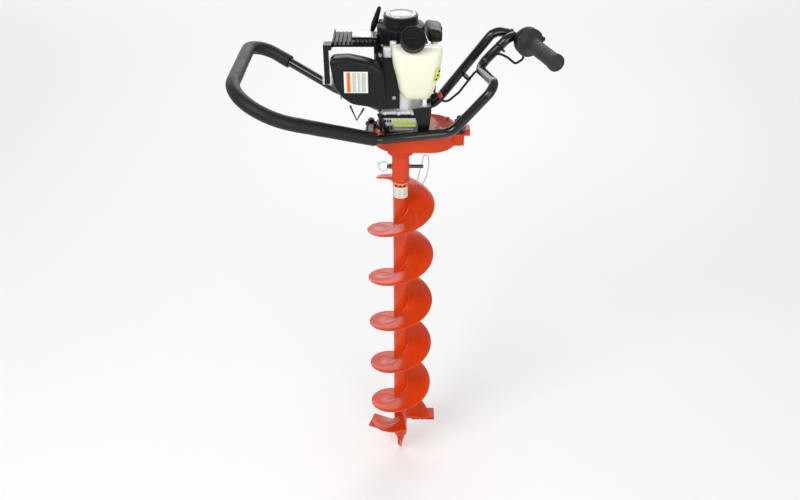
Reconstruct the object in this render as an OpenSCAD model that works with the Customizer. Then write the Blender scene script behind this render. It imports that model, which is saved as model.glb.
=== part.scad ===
// One-man earth auger: a recoil-start petrol engine over a flat two-stage gearbox, a bent-tube
// handle with a padded hip loop, and a soil bit held on the output shaft by a hitch pin.
// Millimetres. +Z is up along the bit's axis, and the origin is the tip of the pilot point.

/* [Auger bit] */
// Diameter of the hole that the bit cuts
auger_d = 152.4; // [140:1:165]
// Rise of the flighting in one turn
pitch = 133; // [120:1:145]
// Turns of the main flighting
turns = 5.5; // [5.5:1:7.5]
// Thickness of the flighting plate
flight_t = 4.5; // [3:0.5:6]
// Outside diameter of the centre tube
tube_d = 34; // [32:1:36]
// Height of the cutting edges above the pilot tip
cut_z = 107; // [95:1:120]

/* [Gearbox] */
// Module of all four gears
gear_m = 1.25; // [1.25:0.25:1.25]
// Teeth on the input pinion
input_teeth = 15; // [15:1:15]
// Teeth on the big gear of the countershaft
counter_teeth = 79; // [79:1:79]
// Teeth on the countershaft's own pinion
pinion_teeth = 18; // [18:1:18]
// Teeth on the output gear
output_teeth = 76; // [76:1:76]
// Thickness of the casting's walls
case_wall = 6; // [5:0.5:7]
// Radius of the output shaft
shaft_r = 12.5; // [12:0.5:13]
// Radius of the hitch pin
pin_r = 4; // [3.5:0.5:4.5]

/* [Handle] */
// Outside diameter of the handle tube
rail_d = 20; // [19:0.5:22]
// Wall of the handle tube
rail_wall = 2; // [1.5:0.5:3]
// Outside diameter of the foam sleeve
foam_d = 29; // [27:1:32]
// Outside diameter of the twist grip
grip_d = 31; // [29:1:33]
// Length of the twist grip
grip_len = 122; // [115:1:130]

/* [Engine] */
// Radius of the flywheel
flywheel_r = 47; // [44:1:48]
// Radius of the fuel cap
cap_r = 24.5; // [22:0.5:26]
// Wall of the fuel tank
tank_wall = 2.5; // [2:0.5:3]

/* [Hidden] */
$fn = 64;
eps = 0.01;
fit = 0.05;         // radial clearance of a running fit
gap = 0.3;          // clearance between curved faces of separate bodies

// Heights, counted up from the pilot tip
auger_r = auger_d / 2;
tube_r = tube_d / 2;
flight_top = cut_z + pitch * turns;
hub_z = flight_top;                 // bottom of the hub, welded to the tube
hub_top = hub_z + 65;
pin_z = hub_z + 31;
collar_z = hub_top + 2;             // bottom of the gear case's collar
case_z = collar_z + 25;             // bottom of the gear case
case_top = case_z + 30;
cover_top = case_top + 6;
engine_z = cover_top + 46;          // bottom of the crankcase

// Gear train: input pinion and output gear share one axis, the countershaft stands beside it
centre_dist = gear_m * (input_teeth + counter_teeth) / 2;
output_r = gear_m * output_teeth / 2;
counter_r = gear_m * counter_teeth / 2;
press_angle = 25;
addendum = 0.8 * gear_m;
dedendum = 1.05 * gear_m;
backlash = 0.14;
out_gear_z = case_z + case_wall + 1.5;
out_gear_h = 11;
big_gear_z = out_gear_z + out_gear_h + 1.5;
big_gear_h = 8;
lower_case_r = output_r + addendum + 2.5 + case_wall;
upper_case_r = counter_r + addendum + 2 + case_wall;
lug_end = 133;

// Engine levels
crank_z = engine_z + 55;            // cylinder's axis
flywheel_z = engine_z + 100;
shroud_top = engine_z + 134;
rope_z = engine_z + 164;
recoil_step = engine_z + 172;
recoil_top = engine_z + 191;
clutch_r = 36;
drum_r = 39.5;
rope_y = 30;

// Twist grip axis
grip_face = [267, 60, 1124];        // middle of the grip's flange
grip_dir = unit([41, -135, 1]);
grip_bar = 112;                     // how far the tube runs on inside the grip
grip_corner = grip_face - grip_dir * 43;

// Handle route: corners of the tube's centre line, each with its bend radius
rail_r = rail_d / 2;
weld_front = [-50, -75, 970];
weld_rear = [-50, 90, 971];
loop_front = [[-333, -188, 1083], 100];
loop_route = [
    [weld_front, 0], loop_front, [[-331, 198, 1082], 42],
    [[-142, 101, 1007], 70], [weld_rear, 0]
];
front_route = [
    [weld_front, 0], [[-38, -74, 970], 30], [[104, -67, 982], 42], [[189, -65, 1082], 24],
    [[164, 74, 1065], 22], [[226, 76, 1133], 24], [grip_corner, 19]
];
rear_route = [
    [weld_rear, 0], [[-36, 90, 971], 30], [[72, 93, 972], 42], [[197, 100, 1137], 26],
    [[234, 104, 1128], 0]
];

// Throttle cable, held along the rails from the throttle housing to the carburettor
cable_route = [
    [[258, 70, 1101], 0], [[256, 68, 1086], 8], [[240, 60, 1079], 9], [[222, 55, 1095], 14],
    [[200, 54, 1106], 14], [[156, 82, 1049], 18], [[126, 78, 1008], 18], [[98, 76, 984], 14],
    [[72, 62, 1010], 12], [[72, 42, 1056], 8], [[72, 33, 1062], 0]
];
cable_d = 5;

// ---------------------------------------------------------------- functions

function unit(v) = v / norm(v);

// One bend: points of an arc that rounds corner b between a and c with radius r
function bend(a, b, c, r) =
    let (u = unit(a - b), w = unit(c - b), turn = 180 - acos(max(-1, min(1, u * w))))
    r == 0 || turn < 1 ? [b] :
    let (
        reach = r * tan(turn / 2),
        start = b + u * reach,
        middle = b + unit(u + w) * r / cos(turn / 2),
        e1 = unit(start - middle),
        e2 = -u,
        steps = max(2, ceil(turn / 9))
    )
    [for (i = [0 : steps]) middle + r * (e1 * cos(turn * i / steps) + e2 * sin(turn * i / steps))];

// A centre line through a route's corners, each rounded with its own radius
function centre_line(route) =
    let (last = len(route) - 1)
    [for (i = [0 : last])
        each (i == 0 || i == last ? [route[i][0]]
              : bend(route[i - 1][0], route[i][0], route[i + 1][0], route[i][1]))];

function tangents(line) =
    let (last = len(line) - 1)
    [for (i = [0 : last])
        i == 0 ? unit(line[1] - line[0])
        : i == last ? unit(line[last] - line[last - 1])
        : unit(unit(line[i + 1] - line[i]) + unit(line[i] - line[i - 1]))];

function any_normal(t) = unit(cross(t, abs(t.z) < 0.9 ? [0, 0, 1] : [1, 0, 0]));

function normals(ts) =
    [for (i = 0, n = any_normal(ts[0]); i < len(ts);
          i = i + 1, n = i < len(ts) ? unit(n - (n * ts[i]) * ts[i]) : n) n];

function rings(line, r, sides) =
    let (ts = tangents(line), ns = normals(ts))
    [for (i = [0 : len(line) - 1])
        let (b = cross(ts[i], ns[i]))
        for (k = [0 : sides - 1])
            line[i] + r * (ns[i] * cos(360 * k / sides) + b * sin(360 * k / sides))];

// Outline of a spur gear with involute flanks, one tooth centred on +X
function roll(r, base) = r <= base ? 0 : let (t = sqrt(pow(r / base, 2) - 1)) t * 180 / PI - atan(t);

function gear_outline(teeth) =
    let (
        rp = gear_m * teeth / 2,
        base = rp * cos(press_angle),
        root = rp - dedendum,
        tip = rp + addendum,
        half = 90 / teeth - backlash / (2 * rp) * 180 / PI + roll(rp, base),
        low = max(root, base),
        radii = [root, low, low + (tip - low) * 0.35, low + (tip - low) * 0.7, tip]
    )
    [for (i = [0 : teeth - 1])
        each [
            for (r = radii) let (a = i * 360 / teeth - half + roll(r, base)) r * [cos(a), sin(a)],
            for (k = [4 : -1 : 0])
                let (r = radii[k], a = i * 360 / teeth + half - roll(r, base)) r * [cos(a), sin(a)]
        ]];

// ---------------------------------------------------------------- shapes

// A bar or a tube swept along a centre line
module swept_bar(line, r, sides = 18) {
    count = len(line);
    polyhedron(
        points = rings(line, r, sides),
        faces = concat(
            [[for (k = [0 : sides - 1]) k]],
            [[for (k = [sides - 1 : -1 : 0]) (count - 1) * sides + k]],
            [for (i = [0 : count - 2], k = [0 : sides - 1])
                let (n = (k + 1) % sides)
                [i * sides + n, i * sides + k, (i + 1) * sides + k, (i + 1) * sides + n]]
        ),
        convexity = 6
    );
}

module swept_tube(line, r, bore, sides = 18) {
    count = len(line);
    total = count * sides;
    polyhedron(
        points = concat(rings(line, r, sides), rings(line, bore, sides)),
        faces = concat(
            [for (i = [0 : count - 2], k = [0 : sides - 1])
                let (n = (k + 1) % sides)
                [i * sides + n, i * sides + k, (i + 1) * sides + k, (i + 1) * sides + n]],
            [for (i = [0 : count - 2], k = [0 : sides - 1])
                let (n = (k + 1) % sides)
                [total + i * sides + k, total + i * sides + n,
                 total + (i + 1) * sides + n, total + (i + 1) * sides + k]],
            [for (k = [0 : sides - 1])
                let (n = (k + 1) % sides) [k, n, total + n, total + k]],
            [for (k = [0 : sides - 1])
                let (n = (k + 1) % sides, o = (count - 1) * sides)
                [o + n, o + k, total + o + k, total + o + n]]
        ),
        convexity = 6
    );
}

// A right-handed helical plate turning up from angle a0 at height z0. Its outer edge runs in
// to r_end over the last `taper` degrees.
module helical_plate(z0, a0, sweep, steps, taper = 0, r_end = auger_r) {
    r_in = tube_r + 0.12;
    function reach(i) =
        let (left = sweep * (1 - i / steps))
        left >= taper ? auger_r : r_end + (auger_r - r_end) * left / taper;
    function spot(r, i, dz) =
        let (a = a0 + sweep * i / steps) [r * cos(a), r * sin(a), z0 + pitch * sweep * i / steps / 360 + dz];
    points = [for (i = [0 : steps])
        each [spot(r_in, i, 0), spot(reach(i), i, 0), spot(reach(i), i, flight_t), spot(r_in, i, flight_t)]];
    polyhedron(
        points = points,
        faces = concat(
            [[0, 1, 2], [0, 2, 3]],
            let (e = steps * 4) [[e + 2, e + 1, e], [e + 3, e + 2, e]],
            [for (i = [0 : steps - 1], k = [0 : 3])
                let (n = (k + 1) % 4, lo = i * 4, hi = lo + 4)
                each [[lo + n, lo + k, hi + k], [lo + n, hi + k, hi + n]]]
        ),
        convexity = 8
    );
}

module ring(r_out, r_in, z0, z1) {
    translate([0, 0, z0]) difference() {
        cylinder(h = z1 - z0, r = r_out);
        translate([0, 0, -1]) cylinder(h = z1 - z0 + 2, r = r_in);
    }
}

module disc(r, z0, z1) {
    translate([0, 0, z0]) cylinder(h = z1 - z0, r = r);
}

// A box given by its low and high corners
module block(low, high) {
    translate(low) cube(high - low);
}

module gear(teeth, z0, height, bore) {
    translate([0, 0, z0]) linear_extrude(height = height) difference() {
        polygon(gear_outline(teeth));
        circle(r = bore);
    }
}

// Child moved so that its +Z runs along the grip's axis from the middle of the flange
module on_grip() {
    translate(grip_face) rotate([0, acos(grip_dir.z), atan2(grip_dir.y, grip_dir.x)]) children();
}

module hex_bolt(r, head_h, length) {
    cylinder(h = head_h, r = r * 1.8, $fn = 6);
    translate([0, 0, -length]) cylinder(h = length + eps, r = r, $fn = 24);
}

// Outline of the gear case seen from above: two round ends and the web between them
module case_outline(inset) {
    circle(r = lower_case_r - inset);
    translate([centre_dist, 0]) circle(r = upper_case_r - inset);
    polygon([
        [0, lower_case_r - inset], [0, inset - lower_case_r],
        [centre_dist, inset - upper_case_r], [centre_dist, upper_case_r - inset]
    ]);
}

// Bolts round the case's rim, each at an angle about one of its two ends
rim_bolts = concat(
    [for (a = [100, 145, 215, 260]) (lower_case_r - 3.2) * [cos(a), sin(a)]],
    [for (a = [-85, -40, 40, 85]) [centre_dist, 0] + (upper_case_r - 3.2) * [cos(a), sin(a)]]
);

// ---------------------------------------------------------------- bit

module pilot_point() {
    color("orangered") {
        translate([0, 0, 52]) cylinder(h = 26, r = tube_r - 4);
        translate([0, 0, 18]) cylinder(h = 34 + eps, r1 = 5, r2 = tube_r - 4);
        rotate([90, 0, 78]) linear_extrude(height = 7, center = true)
            polygon([[0, 0], [9, 14], [20, 30], [20, 42], [10, 54], [-10, 54], [-20, 42], [-20, 30],
                     [-9, 14]]);
    }
}

module auger_tube() {
    color("orangered") ring(tube_r, tube_r - 3.5, 55, hub_z);
}

// Degrees of turn that the flighting stops short of the hub
flight_stop = 360 * flight_t / pitch + 1;

module auger_flighting() {
    color("orangered")
        helical_plate(cut_z, 0, 360 * turns - flight_stop, ceil(turns * 32), 110, 52);
}

// The short second flight starts opposite the main one
lower_a = 158;
lower_z = -14;

module lower_flighting() {
    color("firebrick") helical_plate(cut_z + lower_z, lower_a, 124, 14);
}

// A cutting blade bolted under a flight's leading edge, with its outer end at radius `reach`
module blade(a, z, reach) {
    rotate([0, 0, a]) translate([0, 0, z]) {
        difference() {
            translate([blade_in, -4, -5]) cube([reach - blade_in, 44, 4.6]);
            translate([blade_in - 2, -5, -8]) rotate([28, 0, 0]) cube([auger_r, 12, 8]);
            for (x = bolt_spots) translate([x, 14, -10]) cylinder(h = 20, r = 4.1);
            for (x = [38, 50, 62]) translate([x, -6, -10]) cube([5, 8, 20]);
        }
    }
}

blade_in = 30;
bolt_spots = [40, 60];
blade_seats = [[0, cut_z, auger_r + 14], [lower_a, cut_z + lower_z, auger_r]];

module cutter_blades() {
    color("chocolate") for (seat = blade_seats) blade(seat[0], seat[1], seat[2]);
}

module blade_bolts() {
    color("dimgray")
        for (seat = blade_seats, x = bolt_spots)
            rotate([0, 0, seat[0]]) translate([x, 14, seat[1] - 9]) {
                cylinder(h = 3.9, r = 6.5, $fn = 6);
                cylinder(h = 8.5, r = 3.8, $fn = 24);
            }
}

module auger_hub() {
    color("orangered") difference() {
        union() {
            disc(19, hub_z, hub_top);
            disc(20.5, hub_z, hub_z + 5);
        }
        disc(shaft_r + fit, hub_z + 8, hub_top + 1);
        translate([-30, 0, pin_z]) rotate([0, 90, 0]) cylinder(h = 60, r = pin_r + fit);
    }
}

module output_shaft() {
    color("silver") difference() {
        disc(shaft_r, hub_z + 10, out_gear_z + out_gear_h);
        translate([-30, 0, pin_z]) rotate([0, 90, 0]) cylinder(h = 60, r = pin_r + fit);
    }
}

module output_gear() {
    color("gray") difference() {
        gear(output_teeth, out_gear_z, out_gear_h, shaft_r + 0.02);
        for (a = [0 : 60 : 359]) rotate([0, 0, a + 30]) translate([30, 0, out_gear_z - 1])
            cylinder(h = out_gear_h + 2, r = 8);
    }
}

// The clip's straight leg leans, and passes through the pin near its free end
clip_x = 44.5;
clip_dir = unit([12, 0, 56]);
clip_tilt = atan2(clip_dir.x, clip_dir.z);
ring_r = 11;
ring_x = -26.2;                     // where the ring passes through the pin

module hitch_pin() {
    color("dimgray") difference() {
        union() {
            translate([-30, 0, pin_z]) rotate([0, 90, 0]) cylinder(h = 79, r = pin_r);
            translate([-24, 0, pin_z]) rotate([0, 90, 0]) cylinder(h = 3, r = 6.5);
        }
        translate([clip_x, 0, pin_z]) rotate([0, clip_tilt, 0]) cylinder(h = 20, r = 1.6, center = true);
        translate([ring_x, 0, pin_z]) cylinder(h = 20, r = 2, center = true);
    }
}

module pull_ring() {
    color("silver") translate([ring_x - ring_r, 0, pin_z]) rotate([90, 0, 0])
        rotate_extrude() translate([ring_r, 0]) circle(r = 1.4, $fn = 16);
}

clip_pin = [clip_x, 0, pin_z];
clip_wire = concat(
    [clip_pin - clip_dir * 41, clip_pin + clip_dir * 17],
    [for (a = [170 : -20 : -30]) [54.6 + 6.3 * cos(a), 0, pin_z + 21 + 6.3 * sin(a)]],
    [[61.5, 0, pin_z + 9], [60, 0, pin_z - 5], [57, 0, pin_z - 25], [52, 0, pin_z - 37],
     [49, 0, pin_z - 43]]
);

module hairpin_clip() {
    color("silver") swept_bar(clip_wire, 1.3, 12);
}

// ---------------------------------------------------------------- gearbox

module countershaft() {
    color("gray") translate([centre_dist, 0, 0]) {
        difference() {
            union() {
                disc(8, case_z + 1.5, cover_top - 1.5);
                rotate([0, 0, 180 - 180 / pinion_teeth])
                    gear(pinion_teeth, out_gear_z, out_gear_h, 0.5);
                disc(9, out_gear_z, out_gear_z + out_gear_h);
            }
            disc(1.5, case_z, case_z + 6);
        }
    }
}

module countershaft_gear() {
    color("gray") translate([centre_dist, 0, 0]) difference() {
        rotate([0, 0, 180 - 180 / counter_teeth]) gear(counter_teeth, big_gear_z, big_gear_h, 8.02);
        for (a = [0 : 60 : 359]) rotate([0, 0, a]) translate([30, 0, big_gear_z - 1])
            cylinder(h = big_gear_h + 2, r = 9);
    }
}

module input_pinion() {
    color("gray") {
        gear(input_teeth, big_gear_z, big_gear_h, 0.4);
        disc(6, big_gear_z + big_gear_h - eps, cover_top + 16);
        disc(6, big_gear_z, big_gear_z + big_gear_h);
    }
}

module clutch_drum() {
    color("dimgray") {
        ring(drum_r, drum_r - 2.5, cover_top + 12, cover_top + 36);
        difference() {
            disc(drum_r - 1, cover_top + 12, cover_top + 15);
            disc(6.02, cover_top, cover_top + 30);
            for (a = [0 : 60 : 359]) rotate([0, 0, a]) translate([24, 0, cover_top]) cylinder(h = 30, r = 5);
        }
    }
}

// A bearing: its two races as one ring, with a groove on each face
module bearing(x, z0, z1, r_out, r_in) {
    mid = (r_out + r_in) / 2;
    translate([x, 0, 0]) difference() {
        ring(r_out, r_in, z0, z1);
        ring(mid + 1.6, mid - 1.6, z1 - 0.8, z1 + 1);
        ring(mid + 1.6, mid - 1.6, z0 - 1, z0 + 0.8);
    }
}

module gearbox_bearings() {
    color("lightsteelblue") {
        bearing(0, collar_z + 5, collar_z + 16, 23, shaft_r + fit);
        bearing(0, collar_z + 19, collar_z + 30, 23, shaft_r + fit);
        bearing(centre_dist, case_z + 1.5, case_z + case_wall, 13, 8 + fit);
        bearing(centre_dist, case_top + 0.2, cover_top - 1.5, 13, 8 + fit);
        bearing(0, case_top, cover_top + 8, 14, 6 + fit);
    }
}

module output_seal() {
    color("black") ring(23, shaft_r + fit, collar_z + 0.5, collar_z + 4);
}

module gear_case() {
    color("orangered") difference() {
        union() {
            translate([0, 0, case_z]) linear_extrude(height = case_top - case_z) case_outline(0);
            disc(29, collar_z, case_z + 1);
            disc(25, collar_z - 1, collar_z + 1);
            translate([0, 0, case_z - 8]) cylinder(h = 8 + eps, r1 = 31, r2 = 50);
            block([100, -24, case_z], [lug_end, 24, case_z + 26]);
            block([lug_end - 6, -13, case_z + 18], [lug_end + 13, 13, case_top + 2]);
            translate([-62, 0, case_z + 14]) cylinder(h = 13, r = 13);
            translate([0, 66, case_z + 14]) cylinder(h = 13, r = 13);
        }
        translate([0, 0, case_z + case_wall]) linear_extrude(height = 40) case_outline(case_wall);
        disc(23.02, collar_z + 4.8, case_z + 10);
        disc(23.02, collar_z + 0.5, collar_z + 5);
        disc(shaft_r + 1, collar_z - 5, collar_z + 5);
        translate([centre_dist, 0, 0]) disc(13.02, case_z + 1.5, case_z + 10);
        translate([lug_end - 8, 0, case_z + 5]) cylinder(h = 40, r = 3.1);
        translate([-62, 0, case_z + 5]) cylinder(h = 40, r = 3.1);
        translate([0, 66, case_z + 5]) cylinder(h = 40, r = 3.1);
        for (p = rim_bolts) translate([p.x, p.y, case_top - 12]) cylinder(h = 20, r = 2.1);
        translate([lug_end - 14, -40, case_z - 9]) rotate([0, 38, 0]) cube([40, 80, 14]);
    }
}

module gear_case_cover() {
    color("orangered") difference() {
        union() {
            translate([0, 0, case_top]) linear_extrude(height = cover_top - case_top) case_outline(0);
            disc(17, case_top, cover_top + 9);
        }
        disc(14.02, case_top - 1, cover_top + 8);
        disc(7.5, case_top, cover_top + 20);
        translate([centre_dist, 0, 0]) disc(13.02, case_top - 1, cover_top - 1.5);
        for (p = rim_bolts) translate([p.x, p.y, case_top - 2]) cylinder(h = 20, r = 2.3);
        for (p = mount_spots) translate([p.x, p.y, case_top - 1])
            cylinder(h = 20, r = (p.z > case_top ? 12 : 10) + gap);
    }
}

module cover_bolts() {
    color("dimgray") for (p = rim_bolts) translate([p.x, p.y, cover_top]) hex_bolt(2, 3, 14);
}

// ---------------------------------------------------------------- handle

// Places of the three rubber mounts on the gear case, with each one's seat height
mount_spots = [[-62, 0, case_z + 27], [lug_end - 8, 0, case_top + 2], [0, 66, case_z + 27]];

module rubber_isolators() {
    color("black") for (p = mount_spots) translate(p) {
        cylinder(h = 3, r = 12);
        translate([0, 0, 3]) cylinder(h = 9, r = 10);
        translate([0, 0, 12]) cylinder(h = 3.3, r = 12);
        translate([0, 0, -14]) cylinder(h = 20, r = 3);
    }
}

module frame_brackets() {
    color("black") {
        difference() {
            block([-67, -77, case_z + 42.3], [-57, 10, case_z + 46.3]);
            translate([-62, 0, 0]) disc(3.3, case_z, case_z + 60);
        }
        difference() {
            union() {
                block([lug_end - 15, -62, case_top + 17.3], [lug_end - 1, 10, case_top + 21.3]);
                block([lug_end - 15, -66, case_top + 17.3], [lug_end - 8, -57, case_top + 30]);
            }
            translate([lug_end - 8, 0, 0]) disc(3.3, case_z, case_z + 80);
        }
        difference() {
            block([-14, 53, case_z + 42.3], [14, 92, case_z + 46.3]);
            translate([0, 66, 0]) disc(3.3, case_z, case_z + 60);
        }
        for (p = mount_spots) translate([p.x, p.y, p.z + 19.5]) {
            cylinder(h = 5, r = 7, $fn = 6);
            translate([0, 0, -4.4]) cylinder(h = 11, r = 3);
        }
    }
}

module loop_tube() {
    color("black") swept_tube(centre_line(loop_route), rail_r, rail_r - rail_wall, 18);
}

grip_end = grip_face + grip_dir * grip_bar;

module front_rail_tube() {
    color("black")
        swept_tube(centre_line(concat(front_route, [[grip_end, 0]])), rail_r, rail_r - rail_wall, 18);
}

module rear_rail_tube() {
    color("black") swept_tube(centre_line(rear_route), rail_r, rail_r - rail_wall, 18);
}

// The foam covers the loop from the front weld round to the middle of the rear stretch
foam_start = weld_front + unit(loop_route[1][0] - weld_front) * 4;
foam_end = loop_route[2][0] + (loop_route[3][0] - loop_route[2][0]) * 0.45;
foam_route = [[foam_start, 0], loop_route[1], loop_route[2], [foam_end, 0]];

module foam_sleeve() {
    color("dimgray") swept_tube(centre_line(foam_route), foam_d / 2, rail_r + 0.25, 18);
}

module throttle_housing() {
    color("black") difference() {
        on_grip() {
            translate([0, 0, -26]) cylinder(h = 22, r = 25);
            translate([0, 0, -20]) cylinder(h = 12, r = 29);
            translate([26, -8, -21]) cube([14, 16, 14]);
        }
        on_grip() translate([0, 0, -30]) cylinder(h = 40, r = rail_r + 0.15);
    }
}

module twist_grip() {
    color("dimgray") difference() {
        on_grip() {
            translate([0, 0, -3.6]) cylinder(h = 4.6, r = 30);
            cylinder(h = 8, r1 = 26, r2 = grip_d / 2);
            cylinder(h = grip_len, r = grip_d / 2);
            translate([0, 0, grip_len - 7]) cylinder(h = 7, r = grip_d / 2 + 2);
            translate([0, 0, grip_len]) cylinder(h = 3, r1 = grip_d / 2 + 2, r2 = grip_d / 2 - 1);
        }
        on_grip() translate([0, 0, -10]) cylinder(h = grip_len + 8, r = rail_r + 0.15);
    }
}

module throttle_cable() {
    color("black") swept_bar(centre_line(cable_route), cable_d / 2, 8);
}

// ---------------------------------------------------------------- engine

module clutch_housing() {
    color("black") difference() {
        union() {
            disc(49.7, cover_top + 0.2, cover_top + 7);
            disc(46, cover_top + 6, engine_z - 6);
            disc(50, engine_z - 7, engine_z - 0.2);
            block([-39, -50, cover_top + 8], [37, -30, engine_z - 2]);
        }
        disc(41.5, cover_top + 9.5, engine_z + 1);
        disc(17.5, cover_top - 1, cover_top + 10);
        disc(24, cover_top + 9.4, cover_top + 12);
    }
}

module engine_braces() {
    color("black") {
        block([-48, -55.6, engine_z + 16], [-2, -52, shroud_top - gap]);
        block([-30, -52.5, engine_z + 30], [-10, -46.2, engine_z + 50]);
        translate([0, -51, 0]) rotate([90, 0, 0]) linear_extrude(height = 6)
            polygon([[24, engine_z + 14], [62, engine_z + 20], [60, engine_z - 8], [56, cover_top + 1],
                     [42, cover_top + 1], [32, engine_z - 12]]);
        translate([0, -51, 0]) rotate([90, 0, 0]) linear_extrude(height = 5)
            polygon([[-48, engine_z + 4], [-40, engine_z + 4], [-20, cover_top + 1], [-29, cover_top + 1]]);
    }
}

module clutch_shoe(side) {
    intersection() {
        ring(clutch_r, 13, cover_top + 17, cover_top + 33);
        translate([side > 0 ? 3 : -60, -40, cover_top]) cube([57, 80, 60]);
    }
}

module clutch_shoe_left() {
    color("saddlebrown") clutch_shoe(-1);
}

module clutch_shoe_right() {
    color("saddlebrown") clutch_shoe(1);
}

module crankshaft() {
    color("silver") {
        disc(10, cover_top + 17.5, cover_top + 38);
        disc(8, cover_top + 38 - eps, crank_z - 14);
        disc(30, crank_z - 15, crank_z - 6);
        translate([-17, 0, 0]) disc(8, crank_z - 7, crank_z + 7);
        disc(30, crank_z + 6, crank_z + 15);
        disc(8, crank_z + 14, flywheel_z + 30);
    }
}

module crankcase() {
    color("silver") difference() {
        union() {
            block([-38, -48, engine_z], [62, 48, engine_z + 9]);
            disc(46, engine_z, flywheel_z - 6);
            block([-47, -34, crank_z - 34], [-20, 34, crank_z + 34]);
            block([20, 8, crank_z - 14], [50, 36, crank_z + 14]);
        }
        disc(36, crank_z - 22, crank_z + 22);
        disc(8 + fit, engine_z - 1, flywheel_z);
        translate([-60, 0, crank_z]) rotate([0, 90, 0]) cylinder(h = 50, r = 22);
    }
}

module cylinder_body() {
    rotate([0, 90, 0]) cylinder(h = 80, r = 27);
    for (i = [0 : 8]) translate([4 + i * 8, 0, 0]) rotate([0, 90, 0]) cylinder(h = 2.4, r = 39);
}

module finned_cylinder() {
    color("gainsboro") difference() {
        translate([-127.5, 0, crank_z]) cylinder_body();
        translate([-117, 0, crank_z]) rotate([0, 90, 0]) cylinder(h = 90, r = 20);
        translate([-140, 0, crank_z]) rotate([0, 90, 0]) cylinder(h = 30, r = 7.02);
    }
}

module piston() {
    color("silver") translate([-100, 0, crank_z]) difference() {
        rotate([0, 90, 0]) cylinder(h = 30, r = 19.9);
        translate([4, 0, 0]) rotate([0, 90, 0]) cylinder(h = 30, r = 16.5);
        translate([15, 0, -30]) cylinder(h = 60, r = 5);
    }
}

module flywheel() {
    color("silver") difference() {
        union() {
            disc(flywheel_r, flywheel_z, flywheel_z + 5);
            disc(20, flywheel_z, flywheel_z + 24);
            for (a = [0 : 30 : 359]) rotate([0, 0, a])
                translate([17, -1.2, flywheel_z + 4]) cube([flywheel_r - 18, 2.4, 19]);
        }
        disc(8.02, flywheel_z - 1, flywheel_z + 40);
    }
}

module cylinder_cowl() {
    base = shroud_top + 4;
    color("black") {
        difference() {
            ring(54, 50, flywheel_z - 4, shroud_top);
            block([-60, -60, flywheel_z - 5], [0, -51.7, shroud_top + 1]);
        }
        difference() {
            disc(50.5, flywheel_z - 6, flywheel_z - 3);
            disc(30, flywheel_z - 8, flywheel_z);
        }
        difference() {
            union() {
                block([-134, -38, base], [-44, 40, base + 4]);
                for (i = [0 : 10]) block([-133 + i * 8.2, -40, base + 3], [-130.4 + i * 8.2, 21, base + 11]);
                block([-96, -24, base + 10], [-46, 10, base + 14]);
                block([-134, -40, base], [-131, 40, base + 9]);
                block([-52, -36, shroud_top - 10], [-44, 36, base + 1]);
            }
            disc(53.5, base - 25, shroud_top);
            disc(53.4, shroud_top - eps, base + 40);
        }
    }
}

module guard_bar() {
    color("black") {
        block([-150, -57, crank_z + 14], [-140, -43, shroud_top + 14]);
        block([-149, -57, shroud_top + 4], [-134, -34, shroud_top + 14]);
    }
}

// Outline of the muffler's cover in the X-Z plane, about the cylinder's axis
cover_outline = [
    [-136, 72], [-130, 80], [-100, 82], [-80, 78], [-60, 73.5], [-42, 65], [-34, 54], [-31, 40],
    [-31, -16], [-40, -21], [-57, -20], [-89, -15], [-98, -12], [-115, 1], [-130, 23]
];
cover_front = -98;

module cover_shape(inset, depth) {
    rotate([90, 0, 0]) linear_extrude(height = depth) offset(r = -inset) polygon(cover_outline);
}

outlet = [-133, -74, crank_z + 20];  // mouth of the exhaust outlet
outlet_r = 7.5;

module muffler() {
    color("dimgray") difference() {
        union() {
            block([-104, -92, crank_z + 2], [-50, -48, crank_z + 54]);
            block([-90, -50, crank_z + 8], [-70, -40, crank_z + 30]);
            translate(outlet) rotate([0, 90, 0]) cylinder(h = 30, r = outlet_r + 1.5);
        }
        translate(outlet - [1, 0, 0]) rotate([0, 90, 0]) cylinder(h = 21, r = outlet_r);
        block([-100, -88, crank_z + 6], [-54, -52, crank_z + 50]);
    }
}

module muffler_cover() {
    color("black") difference() {
        translate([0, cover_front + 30, crank_z]) cover_shape(0, 30);
        translate([0, cover_front + 40, crank_z]) cover_shape(3, 37);
        translate(outlet - [10, 0, 0]) rotate([0, 90, 0]) cylinder(h = 40, r = outlet_r + 3);
    }
}

module support_wire() {
    color("black")
        swept_bar([[-100.2, -76, crank_z - 23.3], [-88.1, -76, crank_z - 54.3],
                   [-73.1, -76, crank_z - 28.9]], 2.2, 10);
}

module spark_plug() {
    color("ivory") translate([-158.6, 0, crank_z]) rotate([0, 90, 0]) {
        cylinder(h = 18, r = 9);
        translate([0, 0, 17]) cylinder(h = 14, r = 10, $fn = 6);
        translate([0, 0, 30]) cylinder(h = 14, r = 7);
    }
}

// Outline of the fuel tank in the X-Z plane, above the crankcase's bottom
tank_outline = [
    [10, 47], [54, 47], [66, 68], [73, 96], [79, 130], [79, 144], [66, 152], [-14, 152],
    [-17, 140], [-15, 118], [-9, 95], [-3, 66]
];

module tank_shape(inset, depth) {
    rotate([90, 0, 0]) linear_extrude(height = depth) offset(r = -inset) offset(r = 5) offset(delta = -5)
        polygon(tank_outline);
}

tank_back = -56;                    // y of the face against the engine
tank_depth = 42;
cap_seat = [23, -80, engine_z + 163];

module on_cap() {
    translate(cap_seat) rotate([45, 0, 0]) children();
}

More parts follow.
